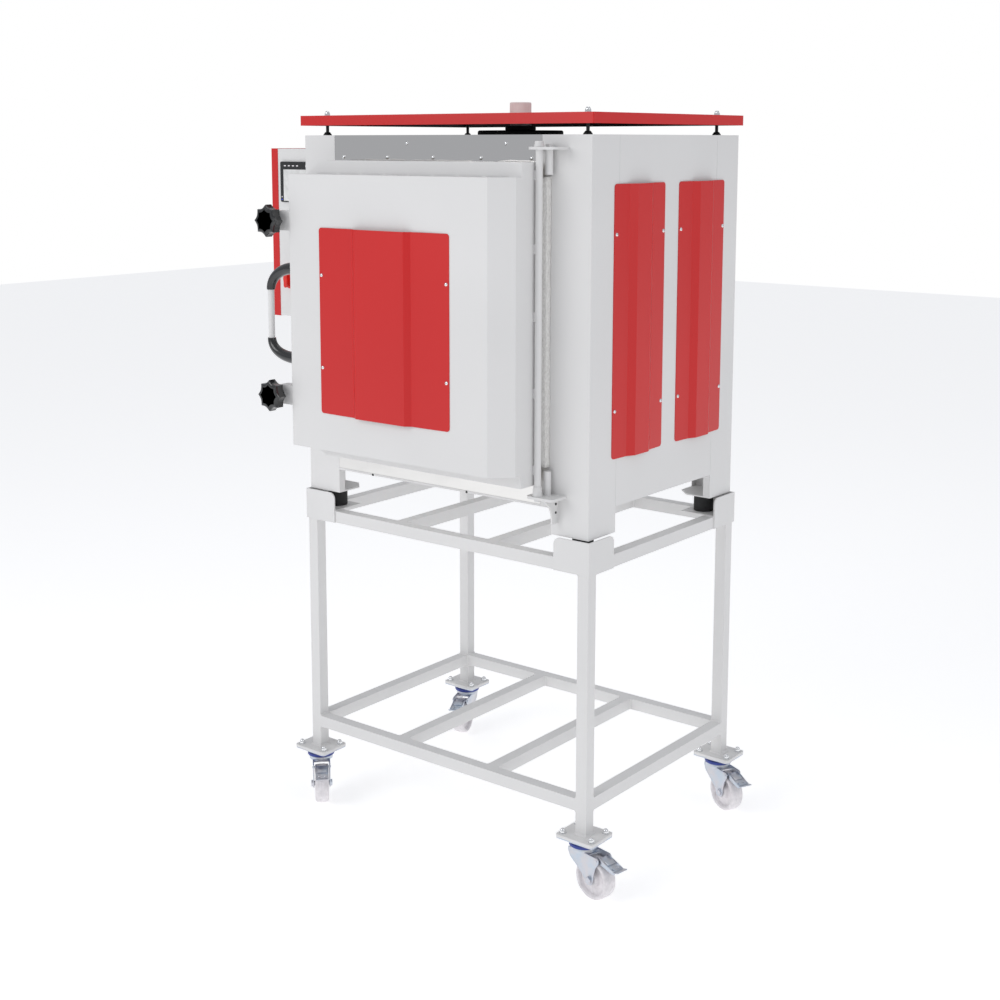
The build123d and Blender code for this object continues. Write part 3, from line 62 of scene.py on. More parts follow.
# %% Faces and heights that the pieces share
posts_low, posts_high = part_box("corner_posts")
MIDDLE = (posts_low + posts_high) / 2
LEFT_WALL, RIGHT_WALL = posts_low.x, posts_high.x
FRONT_WALL = posts_low.y
TOP = posts_high.z
FRONT_DIR = Vector((0, -1, 0))
RIGHT_DIR = Vector((1, 0, 0))
UP = Vector((0, 0, 1))


def at(x, y, drop):
    """Point in metres from the casing's middle in mm and from its top down."""
    return Vector((MIDDLE.x + x * MM, MIDDLE.y + y * MM, TOP - drop * MM))


print("casing from", round(LEFT_WALL, 3), "to", round(RIGHT_WALL, 3), "top", round(TOP, 3))

# %% [markdown]
# ## Camera and light
# The photograph looks from the front right, a little below the lid, with a long lens. The
# camera was fitted to edges of known length. Three large soft lamps and a pale world give the
# even light of a product picture.

# %% Camera
camera_data = bpy.data.cameras.new("kiln_view")
camera_data.lens = 54.771
camera_data.sensor_width = 36.0
camera_data.shift_x = 0.014983
camera_data.shift_y = -0.129846
camera = bpy.data.objects.new("kiln_view", camera_data)
camera.location = (2.36797, -2.99620, 1.74176)
camera.rotation_euler = (radians(81.466), 0.0, radians(38.610))
bpy.context.scene.collection.objects.link(camera)
bpy.context.scene.camera = camera
bpy.context.scene.view_settings.view_transform = "Standard"
print("camera at", tuple(round(v, 3) for v in camera.location))


# %% Soft lamps
def soft_lamp(name, place, target, size, watts):
    """Square area lamp that points at the target."""
    data = bpy.data.lights.new(name, "AREA")
    data.size = size
    data.energy = watts
    lamp = bpy.data.objects.new(name, data)
    lamp.location = place
    aim = Vector(target) - Vector(place)
    lamp.rotation_euler = aim.to_track_quat("-Z", "Y").to_euler()
    bpy.context.scene.collection.objects.link(lamp)
    return lamp


AIM = (0.0, 0.0, 1.0)
soft_lamp("front_lamp", (-1.6, -4.2, 3.2), AIM, 2.6, 62)
soft_lamp("right_lamp", (4.4, -0.6, 2.6), AIM, 2.4, 24)
soft_lamp("top_lamp", (0.2, 0.6, 4.6), AIM, 2.4, 18)

# %% [markdown]
# The backdrop is white to the camera and softer to everything else, so the kiln is lit gently
# while the picture keeps its white ground. A wide floor catches the soft shadow.

# %% World and floor
world = bpy.data.worlds.new("pale_room")
world.use_nodes = True
bpy.context.scene.world = world
tree = world.node_tree
background = tree.nodes["Background"]
background.inputs["Color"].default_value = (0.93, 0.95, 1.0, 1.0)
background.inputs["Strength"].default_value = 0.52
white = tree.nodes.new("ShaderNodeBackground")
white.inputs["Color"].default_value = (1.0, 1.0, 1.0, 1.0)
white.inputs["Strength"].default_value = 1.0
rays = tree.nodes.new("ShaderNodeLightPath")
pick = tree.nodes.new("ShaderNodeMixShader")
tree.links.new(rays.outputs["Is Camera Ray"], pick.inputs[0])
tree.links.new(background.outputs[0], pick.inputs[1])
tree.links.new(white.outputs[0], pick.inputs[2])
tree.links.new(pick.outputs[0], tree.nodes["World Output"].inputs["Surface"])

floor_mesh = bmesh.new()
bmesh.ops.create_grid(floor_mesh, x_segments=1, y_segments=1, size=14.0)
floor_data = bpy.data.meshes.new("studio_floor")
floor_mesh.to_mesh(floor_data)
floor_mesh.free()
floor = bpy.data.objects.new("studio_floor", floor_data)
floor.location.z = -0.0005
bpy.context.scene.collection.objects.link(floor)
floor_paper = bpy.data.materials.new("floor_paper")
floor_paper.use_nodes = True
shader = floor_paper.node_tree.nodes["Principled BSDF"]
shader.inputs["Base Color"].default_value = (0.86, 0.86, 0.86, 1.0)
shader.inputs["Roughness"].default_value = 0.9
shader.inputs["Emission Color"].default_value = (1.0, 1.0, 1.0, 1.0)
shader.inputs["Emission Strength"].default_value = 0.45
floor_data.materials.append(floor_paper)
print("stage ready")

# %% [markdown]
# ## Node materials
# Every finish is a small node tree on Object coordinates, so a pattern keeps its real size on
# every piece. Fixed values, such as roughness, go straight on the shader's own sockets.


# %% Helpers for node trees
def new_material(name, colour, rough, metal=0.0, coat=0.0):
    """Principled material with its plain values set."""
    material = bpy.data.materials.new(name)
    material.use_nodes = True
    shader = material.node_tree.nodes["Principled BSDF"]
    shader.inputs["Base Color"].default_value = (*colour, 1.0)
    shader.inputs["Roughness"].default_value = rough
    shader.inputs["Metallic"].default_value = metal
    shader.inputs["Coat Weight"].default_value = coat
    material.diffuse_color = (*colour, 1.0)
    return material


def add_node(material, kind, **inputs):
    """Node of that kind; the named inputs get a value or a link from a socket."""
    tree = material.node_tree
    node = tree.nodes.new(kind)
    for name, value in inputs.items():
        socket = node.inputs[name.replace("_", " ")]
        if isinstance(value, bpy.types.NodeSocket):
            tree.links.new(value, socket)
        else:
            socket.default_value = value
    return node


def object_point(material, stretch=(1.0, 1.0, 1.0)):
    """Object coordinates, stretched along each axis."""
    source = add_node(material, "ShaderNodeTexCoord")
    mapping = add_node(material, "ShaderNodeMapping", Vector=source.outputs["Object"])
    mapping.inputs["Scale"].default_value = stretch
    return mapping.outputs["Vector"]


def noise_at(material, point, scale, detail=3.0, rough=0.5):
    """Factor of a noise texture."""
    node = add_node(
        material, "ShaderNodeTexNoise", Vector=point, Scale=scale, Detail=detail, Roughness=rough
    )
    return node.outputs["Fac"]


def ramp(material, factor, stops):
    """Colour ramp with (place, colour) stops."""
    node = add_node(material, "ShaderNodeValToRGB", Fac=factor)
    elements = node.color_ramp.elements
    while len(elements) < len(stops):
        elements.new(0.5)
    for element, (place, colour) in zip(elements, stops):
        element.position = place
        element.color = (*colour, 1.0)
    return node.outputs["Color"]


def paint(material, colour_socket):
    """Link a colour to the shader."""
    shader = material.node_tree.nodes["Principled BSDF"]
    material.node_tree.links.new(colour_socket, shader.inputs["Base Color"])


def relief(material, height, distance, strength=1.0, below=None):
    """Bump of a real height in metres, on top of an earlier one if given."""
    node = add_node(material, "ShaderNodeBump", Height=height, Distance=distance, Strength=strength)
    if below is not None:
        material.node_tree.links.new(below, node.inputs["Normal"])
    shader = material.node_tree.nodes["Principled BSDF"]
    material.node_tree.links.new(node.outputs["Normal"], shader.inputs["Normal"])
    return node.outputs["Normal"]


def shade(colour, factor):
    """The colour made lighter or darker."""
    return tuple(min(1.0, c * factor) for c in colour)


print("helpers ready")

# %% [markdown]
# ## Powder coat
# The sheet metal is coated with baked powder. Close up it has the skin of an orange, a grain
# of about a millimetre, and over a whole panel its shade wanders by a percent or two.


# %% Pale and red powder coat
def powder_coat(name, colour, rough, grain=0.00006):
    """Baked powder: orange-peel grain with a slight drift of shade."""
    material = new_material(name, colour, rough, coat=0.12)
    material.node_tree.nodes["Principled BSDF"].inputs["Coat Roughness"].default_value = 0.3
    point = object_point(material)
    drift = noise_at(material, point, 2.2, 2.0)
    paint(
        material,
        ramp(material, drift, [(0.3, shade(colour, 0.965)), (0.7, shade(colour, 1.02))]),
    )
    peel = noise_at(material, point, 900.0, 2.0, 0.6)
    relief(material, peel, grain, 0.5)
    return material


pale_coat = powder_coat("pale_powder_coat", (0.745, 0.74, 0.735), 0.45)
red_coat = powder_coat("red_powder_coat", (0.60, 0.0022, 0.0022), 0.38)
print(pale_coat.name, red_coat.name)

# %% [markdown]
# ## Metals
# The fascia is thin mirror steel. Sheet of that kind is never flat: it buckles over a span of
# a hand, so what it mirrors is bent into bands. Zinc plate on the castors is cool grey with
# faint blue and yellow tints, and the bright screws are plain polished steel.


# %% Steel, zinc and dark metal
def metal(name, colour, rough, waves=(), tint=None):
    """Bare metal. Each wave is (scale, height); tint is a second colour in soft clouds."""
    material = new_material(name, colour, rough, metal=1.0)
    point = object_point(material)
    if tint is not None:
        cloud = noise_at(material, point, 38.0, 4.0)
        paint(material, ramp(material, cloud, [(0.36, colour), (0.64, tint)]))
    below = None
    for scale, height in waves:
        below = relief(material, noise_at(material, point, scale, 1.0), height, 1.0, below)
    return material


mirror_steel = metal("mirror_steel", (0.74, 0.73, 0.715), 0.045, [(5.5, 0.0035), (17.0, 0.0007)])
bright_steel = metal("bright_steel", (0.82, 0.83, 0.84), 0.16, [(220.0, 0.00006)])
zinc_steel = metal(
    "zinc_plate", (0.56, 0.62, 0.70), 0.34, [(160.0, 0.00008)], tint=(0.64, 0.63, 0.66)
)
# Near black paint of the flange and small screws; on the flue collar the same near black is painted shade.
dark_metal_and_shade = new_material("dark_flange_paint_and_collar_shade", (0.012, 0.012, 0.013), 0.6)
relief(dark_metal_and_shade, noise_at(dark_metal_and_shade, object_point(dark_metal_and_shade), 260.0), 0.0002)
print(mirror_steel.name, bright_steel.name, zinc_steel.name)

# %% [markdown]
# ## Plastics and rubber
# Moulded pieces are smoother than coated sheet, with a fine grain left by the tool. The knobs
# and elbows are glossy phenolic, which reflects a lamp as a soft white patch.


# %% Plastics and rubber
def moulded(name, colour, rough, coat=0.0, grain=0.00004, scale=600.0):
    """Moulded plastic or rubber with a fine grain and a faint mottle."""
    material = new_material(name, colour, rough, coat=coat)
    point = object_point(material)
    mottle = noise_at(material, point, 90.0, 2.0)
    paint(
        material, ramp(material, mottle, [(0.3, shade(colour, 0.9)), (0.7, shade(colour, 1.08))])
    )
    relief(material, noise_at(material, point, scale, 2.0), grain, 0.6)
    return material


black_plastic = moulded("black_phenolic", (0.008, 0.009, 0.010), 0.22, coat=0.5)
black_rubber = moulded("black_rubber", (0.018, 0.018, 0.019), 0.75, grain=0.00012, scale=350.0)
red_plastic = moulded("red_plastic", (0.75, 0.012, 0.004), 0.3, coat=0.3)
pale_plastic = moulded("pale_plastic", (0.74, 0.74, 0.73), 0.4)
blue_plastic = moulded("blue_plastic", (0.03, 0.055, 0.30), 0.4)
white_nylon = moulded("white_nylon", (0.80, 0.77, 0.79), 0.36, grain=0.00008)
print("six mouldings")

# %% [markdown]
# ## Firebrick and fibre
# Insulating brick is cream, full of pinholes, and laid with thin joints. The joints come from
# a brick texture on the two axes of each wall, the pinholes from a fine Voronoi pattern.


# %% Firebrick, fibre and flue ceramic
def pinholes(material, point, scale, height):
    """Small round pits where the Voronoi distance is short."""
    cells = add_node(material, "ShaderNodeTexVoronoi", Vector=point, Scale=scale)
    pits = ramp(material, cells.outputs["Distance"], [(0.12, (0, 0, 0)), (0.3, (1, 1, 1))])
    return relief(material, pits, height)


BRICK_LENGTH = 0.230
BRICK_COURSE = 0.0933
CREAM = (0.78, 0.70, 0.56)
firebrick = new_material("firebrick", CREAM, 0.92)
brick_point = object_point(firebrick)
axes = add_node(firebrick, "ShaderNodeSeparateXYZ", Vector=brick_point)
run = add_node(firebrick, "ShaderNodeMath")
firebrick.node_tree.links.new(axes.outputs["X"], run.inputs[0])
firebrick.node_tree.links.new(axes.outputs["Y"], run.inputs[1])
flat = add_node(firebrick, "ShaderNodeCombineXYZ", X=run.outputs[0], Y=axes.outputs["Z"])
courses = add_node(firebrick, "ShaderNodeTexBrick", Vector=flat.outputs[0], Scale=1.0)
courses.inputs["Brick Width"].default_value = BRICK_LENGTH
courses.inputs["Row Height"].default_value = BRICK_COURSE
courses.inputs["Mortar Size"].default_value = 0.0011
courses.inputs["Mortar Smooth"].default_value = 0.3
courses.inputs["Color1"].default_value = (*CREAM, 1.0)
courses.inputs["Color2"].default_value = (*shade(CREAM, 0.93), 1.0)
courses.inputs["Mortar"].default_value = (*shade(CREAM, 0.55), 1.0)
cloud = noise_at(firebrick, brick_point, 30.0, 5.0)
stain = add_node(firebrick, "ShaderNodeMix", Factor=cloud)
stain.data_type = "RGBA"
stain.blend_type = "MULTIPLY"
firebrick.node_tree.links.new(courses.outputs["Color"], stain.inputs[6])
stain.inputs[7].default_value = (0.86, 0.83, 0.78, 1.0)
paint(firebrick, stain.outputs[2])
pitted = pinholes(firebrick, brick_point, 420.0, 0.0006)
joints = add_node(firebrick, "ShaderNodeMath", Value=1.0)
joints.operation = "SUBTRACT"
firebrick.node_tree.links.new(courses.outputs["Fac"], joints.inputs[1])
relief(firebrick, joints.outputs[0], 0.0012, 0.8, pitted)

fibre = new_material("ceramic_fibre", (0.83, 0.82, 0.80), 0.95)
fibre_point = object_point(fibre, (1.0, 1.0, 0.35))
strands = noise_at(fibre, fibre_point, 320.0, 6.0, 0.75)
paint(fibre, ramp(fibre, strands, [(0.3, (0.60, 0.585, 0.56)), (0.62, (0.86, 0.85, 0.83))]))
relief(fibre, strands, 0.0016, 0.9)

flue_ceramic = new_material("flue_ceramic", (0.80, 0.72, 0.70), 0.7)
flue_point = object_point(flue_ceramic)
flue_cloud = noise_at(flue_ceramic, flue_point, 26.0, 4.0)
paint(
    flue_ceramic,
    ramp(flue_ceramic, flue_cloud, [(0.3, (0.74, 0.65, 0.63)), (0.7, (0.83, 0.76, 0.74))]),
)
pinholes(flue_ceramic, flue_point, 600.0, 0.0003)

element_wire = metal("element_wire", (0.20, 0.17, 0.15), 0.55, [(400.0, 0.0002)])
print("ceramics ready")

# %% [markdown]
# ## Dress the CAD nodes
# The record names a finish for each node, so one table from slot to material dresses them all.

# %% Give every CAD node its finish
FINISH = {
    "pale_coat": pale_coat,
    "red_coat": red_coat,
    "mirror_steel": mirror_steel,
    "bright_steel": bright_steel,
    "zinc_steel": zinc_steel,
    "blue_plastic": blue_plastic,
    "white_nylon": white_nylon,
    "black_rubber": black_rubber,
    "black_plastic": black_plastic,
    "red_plastic": red_plastic,
    "pale_plastic": pale_plastic,
    "firebrick": firebrick,
    "fibre": fibre,
    "element_wire": element_wire,
    "chimney_ceramic": flue_ceramic,
    "dark_flange": dark_metal_and_shade,
}
for part in frame["record"]["subparts"]:
    node = frame["nodes"][part["node"]]
    node.data.materials.clear()
    node.data.materials.append(FINISH[part["material_slot"]])

# %% [markdown]
# The lid is red outside. Under the sheet it is painted near black as painted shade, for the shadow
# under the lid. It is one solid, so its material picks the colour by place: inside the pan, below
# the sheet, is the painted shade.

# %% Lid: red outside, painted shade underneath
lid_low, lid_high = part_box("heat_shield_lid")
LID_SHEET = 1.5 * MM
# This lid material carries painted shade: its underside, inside the pan, is painted near black.
lid_coat_and_shade = powder_coat("lid_powder_coat_with_painted_shade", (0.60, 0.0022, 0.0022), 0.38)
red_socket = lid_coat_and_shade.node_tree.nodes["Principled BSDF"].inputs["Base Color"].links[0].from_socket
lid_middle = (lid_low + lid_high) / 2
centred = object_point(lid_coat_and_shade)
centred.node.inputs["Location"].default_value = -lid_middle
axes = add_node(lid_coat_and_shade, "ShaderNodeSeparateXYZ", Vector=centred)
masks = []
for axis, reach in (("X", (lid_high.x - lid_low.x) / 2), ("Y", (lid_high.y - lid_low.y) / 2)):
    size = add_node(lid_coat_and_shade, "ShaderNodeMath")
    size.operation = "ABSOLUTE"
    lid_coat_and_shade.node_tree.links.new(axes.outputs[axis], size.inputs[0])
    inner = add_node(lid_coat_and_shade, "ShaderNodeMath")
    inner.operation = "LESS_THAN"
    inner.inputs[1].default_value = reach - LID_SHEET * 0.9
    lid_coat_and_shade.node_tree.links.new(size.outputs[0], inner.inputs[0])
    masks.append(inner.outputs[0])
below = add_node(lid_coat_and_shade, "ShaderNodeMath")
below.operation = "LESS_THAN"
below.inputs[1].default_value = (lid_high.z - lid_low.z) / 2 - LID_SHEET * 0.9
lid_coat_and_shade.node_tree.links.new(axes.outputs["Z"], below.inputs[0])
masks.append(below.outputs[0])
underside_shade_mask = masks[0]
for mask in masks[1:]:
    times = add_node(lid_coat_and_shade, "ShaderNodeMath")
    times.operation = "MULTIPLY"
    lid_coat_and_shade.node_tree.links.new(underside_shade_mask, times.inputs[0])
    lid_coat_and_shade.node_tree.links.new(mask, times.inputs[1])
    underside_shade_mask = times.outputs[0]
painted_underside_shade = add_node(lid_coat_and_shade, "ShaderNodeMix")
painted_underside_shade.data_type = "RGBA"
lid_coat_and_shade.node_tree.links.new(underside_shade_mask, painted_underside_shade.inputs[0])
lid_coat_and_shade.node_tree.links.new(red_socket, painted_underside_shade.inputs[6])
# Near black painted shade for the lid's underside, inside the pan.
painted_underside_shade.inputs[7].default_value = (0.01, 0.01, 0.012, 1.0)
paint(lid_coat_and_shade, painted_underside_shade.outputs[2])
frame["nodes"]["heat_shield_lid"].data.materials[0] = lid_coat_and_shade
print("lid", round(lid_high.x - lid_low.x, 3), "m wide")

# %% [markdown]
# ## Making pieces
# A small piece is drawn once, in millimetres round the origin, as a bmesh that operators fill.
# `placed` then copies it to every seat it has on the kiln, and `finish_piece` makes the
# object, with its place in its mesh, and lets it ride on its body.


# %% Helpers: profiles, prisms and blocks in millimetres
def lathe(profile, steps=32, closed=False):
    """Spin (radius, height) points in mm round Z; a closed profile makes a ring."""
    mesh = bmesh.new()
    line = [mesh.verts.new((radius, 0.0, height)) for radius, height in profile]
    pairs = list(zip(line, line[1:]))
    if closed:
        pairs.append((line[-1], line[0]))
    edges = [mesh.edges.new(pair) for pair in pairs]
    bmesh.ops.spin(
        mesh,
        geom=line + edges,
        axis=(0, 0, 1),
        cent=(0, 0, 0),
        angle=2 * pi,
        steps=steps,
        use_merge=True,
    )
    bmesh.ops.remove_doubles(mesh, verts=mesh.verts, dist=1e-4)
    return mesh


def rounded(mesh, edges, width, segments=2):
    """Bevel those edges."""
    bmesh.ops.bevel(
        mesh,
        geom=edges,
        offset=width,
        offset_type="OFFSET",
        affect="EDGES",
        segments=segments,
        profile=0.5,
        material=-1,
    )


def prism(width, height, sides=6, edge=0.0, floor=0.0):
    """Upright prism over its corners, with its upper rim bevelled."""
    mesh = bmesh.new()
    bmesh.ops.create_cone(
        mesh,
        cap_ends=True,
        segments=sides,
        radius1=width / 2,
        radius2=width / 2,
        depth=height,
        matrix=Matrix.Translation((0, 0, floor + height / 2)),
    )
    if edge > 0:
        top = floor + height - 1e-4
        rounded(mesh, [e for e in mesh.edges if all(v.co.z > top for v in e.verts)], edge)
    return mesh


def block(low, high, edge=0.0, segments=2):
    """Box between two corners in mm, with its edges rounded."""
    mesh = bmesh.new()
    bmesh.ops.create_cube(mesh, size=1.0)
    low, high = Vector(low), Vector(high)
    bmesh.ops.scale(mesh, vec=high - low, verts=mesh.verts)
    bmesh.ops.translate(mesh, vec=(low + high) / 2, verts=mesh.verts)
    if edge > 0:
        rounded(mesh, list(mesh.edges), edge, segments)
    return mesh


def plate(outline, thickness, edge=0.0, segments=2):
    """Flat (x, z) outline in mm, as thick as given along +Y, with rounded edges."""
    mesh = bmesh.new()
    face = mesh.faces.new([mesh.verts.new((x, 0.0, z)) for x, z in outline])
    made = bmesh.ops.extrude_face_region(mesh, geom=[face])["geom"]
    far_side = [v for v in made if isinstance(v, bmesh.types.BMVert)]
    bmesh.ops.translate(mesh, vec=(0, thickness, 0), verts=far_side)
    bmesh.ops.recalc_face_normals(mesh, faces=mesh.faces)
    if edge > 0:
        rim = [e for e in mesh.edges if abs(e.verts[0].co.y - e.verts[1].co.y) < 1e-4]
        rounded(mesh, rim, edge, segments)
    return mesh


def moved(mesh, matrix):
    """The same bmesh after a turn or shift."""
    bmesh.ops.transform(mesh, matrix=matrix, verts=mesh.verts)
    return mesh


def join(*parts):
    """One bmesh from several, which are used up."""
    whole = bmesh.new()
    for part in parts:
        data = bpy.data.meshes.new("part")
        part.to_mesh(data)
        part.free()
        whole.from_mesh(data)
        bpy.data.meshes.remove(data)
    return whole


def placed(pattern, seats):
    """Copies of a pattern in mm, one for each matrix in metres."""
    data = bpy.data.meshes.new("pattern")
    pattern.to_mesh(data)
    pattern.free()
    whole = bmesh.new()
    for seat in seats:
        start = len(whole.verts)
        whole.from_mesh(data)
        whole.verts.ensure_lookup_table()
        bmesh.ops.transform(whole, matrix=seat @ Matrix.Scale(MM, 4), verts=whole.verts[start:])
    bpy.data.meshes.remove(data)
    return whole


print("pattern helpers ready")


# %% Helpers: seats and finished objects
def standing(point, along=UP):
    """Seat at a point, with the pattern's Z along the direction."""
    turn = Vector(along).to_track_quat("Z", "Y").to_matrix().to_4x4()
    return Matrix.Translation(point) @ turn


def finish_piece(mesh, name, body, material, replaced=(), smooth_angle=38.0):
    """Object from a bmesh in metres, on its body, with its finish."""
    bmesh.ops.remove_doubles(mesh, verts=mesh.verts, dist=1e-6)
    bmesh.ops.recalc_face_normals(mesh, faces=mesh.faces)
    data = bpy.data.meshes.new(name)
    mesh.to_mesh(data)
    mesh.free()
    piece = bpy.data.objects.new(name, data)
    bpy.context.scene.collection.objects.link(piece)
    data.materials.append(material)
    data.shade_smooth()
    data.set_sharp_from_angle(angle=radians(smooth_angle))
    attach(piece, body)
    if replaced:
        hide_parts(*replaced)
    print(f"{name}: {len(data.polygons)} faces")
    return piece


JOINTS = {joint["name"]: joint for joint in frame["joints"]}

# %% [markdown]
# ## Screws
# The casing and the covers are held by bright pan-head screws with a small socket. One head
# is turned on the lathe and copied to each place that the CAD gives.

# %% Screw heads on the fascia, the side covers and the door panel
SCREW_PROFILE = [
    (0.0, 1.3), (1.5, 1.3), (1.55, 2.75), (2.4, 2.7), (3.5, 2.2), (4.2, 1.4), (4.5, 0.5),
    (4.5, -1.5),
]
fascia_low, fascia_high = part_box("front_fascia")
fascia_wide = fascia_high.x - fascia_low.x
SCREW_MARGIN = 30 * MM
screw_seats = []
for place in range(5):
    x = fascia_low.x + SCREW_MARGIN + place * (fascia_wide - 2 * SCREW_MARGIN) / 4
    screw_seats.append(standing((x, FRONT_WALL, TOP - 53 * MM), FRONT_DIR))
for share in (0.372, 0.84):
    x = fascia_low.x + share * fascia_wide
    screw_seats.append(standing((x, FRONT_WALL, TOP - 20 * MM), FRONT_DIR))
CASE_HALF_WIDTH = 440
VENT_TOP_DROP = 109
VENT_HEIGHT = 626
VENT_SCREW_SHARES = (0.18, 0.823)
VENT_SEATS = [(1, -126.5), (1, 147.0), (-1, 147.0)]
WING_LIFT = 1.5 + 3.0 * 12.5 / 55.5
for side, y in VENT_SEATS:
    for shift in (-97.5, 97.5):
        for share in VENT_SCREW_SHARES:
            drop = VENT_TOP_DROP + share * VENT_HEIGHT
            spot = at(side * (CASE_HALF_WIDTH + WING_LIFT), y + shift, drop)
            screw_seats.append(standing(spot, side * RIGHT_DIR))
screws = placed(lathe(SCREW_PROFILE, 20), screw_seats)
finish_piece(screws, "casing_pan_screws", "kiln", bright_steel, ("casing_screws",))

door_screws_low, door_screws_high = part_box("door_panel_screws")
head_reach = 4.5 * MM
door_seats = [
    standing((x, door_screws_high.y, z), FRONT_DIR)
    for x in (door_screws_low.x + head_reach, door_screws_high.x - head_reach)
    for z in (door_screws_low.z + head_reach, door_screws_high.z - head_reach)
]
screws = placed(lathe(SCREW_PROFILE, 20), door_seats)
finish_piece(
    screws, "door_pan_screws", "door", bright_steel, ("door_panel_screws",)
)

# %% [markdown]
# Two small dark screws sit in the strip under the door, and two more hold the gusset of the
# lower hinge bracket.

# %% Small dark screws
SMALL_SCREW = [(0.0, 0.7), (1.0, 0.7), (1.1, 1.7), (2.4, 1.3), (3.0, 0.4), (3.0, -1.0)]
small_seats = [standing(at(x, -320, 846), FRONT_DIR) for x in (-220, 85)]
small_seats += [standing(at(355, -329, 819 + drop), RIGHT_DIR) for drop in (14, 34)]
dark_screws = placed(lathe(SMALL_SCREW, 16), small_seats)
finish_piece(dark_screws, "small_dark_screws", "kiln", dark_metal_and_shade)

# %% [markdown]
# ## Lid studs and cap nuts
# Each stud stands in a small cone on the deck, goes through the sheet and ends in a bright cap
# nut with a flange. The studs are painted near black: under the lid this is painted shade, as dark
# as the pan's painted shade.

# %% Lid hardware
lid_corners = [at(x, y, 0) for x in (-400, 400) for y in (-280, 280)]
stud_pattern = join(
    lathe([(0, 0), (11, 0), (11, 1.2), (6.2, 8.0), (4.0, 8.2), (4.0, 47.0), (0, 47.0)], 24),
    prism(14.0, 6.5, 6, 0.8, 40.4),
)
# Near black stud colour: under the lid it is painted shade.
stud_shade_paint = moulded("stud_painted_shade", (0.012, 0.012, 0.013), 0.45)
finish_piece(
    placed(stud_pattern, [standing(spot) for spot in lid_corners]),
    "lid_stud_set", "kiln", stud_shade_paint, ("lid_studs",),
)
cap_pattern = join(
    prism(14.0, 6.0, 6, 0.7),
    lathe([(0, 0), (7.9, 0), (7.9, 1.2), (6.4, 1.4)], 24),
    lathe([(6.0, 6.0), (5.6, 8.0), (4.9, 10.0), (3.4, 11.8), (1.6, 12.4), (0, 12.5)], 24),
)
finish_piece(
    placed(cap_pattern, [standing(spot + UP * 48.5 * MM) for spot in lid_corners]),
    "lid_cap_nut_set", "kiln", bright_steel, ("lid_cap_nuts",),
)

# %% [markdown]
# ## Flue
# The flue is a fired ceramic tube. Its rim is softened by handling, so the profile rounds both
# edges instead of ending in a sharp circle.

# %% Flue tube
flue_low, flue_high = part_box("chimney_tube")
flue_middle = Vector(((flue_low.x + flue_high.x) / 2, (flue_low.y + flue_high.y) / 2, flue_low.z))
flue_length = (flue_high.z - flue_low.z) / MM
flue_profile = [
    (16.0, 0.0), (27.0, 0.0), (27.0, flue_length - 3.0), (26.2, flue_length - 1.0),
    (24.4, flue_length), (18.2, flue_length), (16.6, flue_length - 0.8), (16.0, flue_length - 2.6),
]
flue_mesh = placed(lathe(flue_profile, 64, closed=True), [standing(flue_middle)])
finish_piece(flue_mesh, "flue_tube", "kiln", flue_ceramic, ("chimney_tube",))

# %% [markdown]
# ## Castors
# Each castor has a solid nylon wheel with a recessed web, a pressed zinc-plated fork and a
# brake pedal. The joints in the record give the swivel axis and the axle, so one local
# pattern serves all four, whatever way each castor happens to point.


# %% Castor seats from the joints
def castor_seat(corner):
    """Seat under the king pin at floor height, X along the trail and Y along the axle."""
    swivel = Vector(JOINTS[f"{corner}_castor_swivel"]["pos_m"])
    axle = Vector(JOINTS[f"{corner}_castor_roll"]["pos_m"])
    along = Vector((axle.x - swivel.x, axle.y - swivel.y, 0)).normalized()
    across = UP.cross(along)
    seat = Matrix((along, across, UP)).transposed().to_4x4()
    return Matrix.Translation((swivel.x, swivel.y, 0)) @ seat


CORNERS = ("front_right", "front_left", "rear_right", "rear_left")
SEATS = {corner: castor_seat(corner) for corner in CORNERS}
TRAIL = 38.0
AXLE_Z = 50.0
ALONG_Y = Matrix.Rotation(-pi / 2, 4, "X")
print({corner: tuple(round(v, 3) for v in SEATS[corner].translation) for corner in CORNERS})

# %% Nylon wheels
half_wheel = [
    (6.2, 17.6), (15.6, 17.6), (16.8, 16.6), (18.6, 9.4), (20.4, 7.8), (35.0, 7.2),
    (37.4, 8.4), (39.2, 14.6), (40.6, 16.6), (44.0, 17.9), (46.8, 17.2), (48.9, 14.6),
    (49.8, 9.0), (50.0, 1.2), (49.6, 0.5),
]
wheel_profile = half_wheel + [(radius, -height) for radius, height in reversed(half_wheel)]
for corner in CORNERS:
    wheel = moved(lathe(wheel_profile, 72, closed=True), ALONG_Y)
    moved(wheel, Matrix.Translation((TRAIL, 0, AXLE_Z)))
    finish_piece(
        placed(wheel, [SEATS[corner]]),
        f"{corner}_nylon_wheel", f"{corner}_castor_wheel", white_nylon,
        (f"{corner}_castor_wheel",),
    )

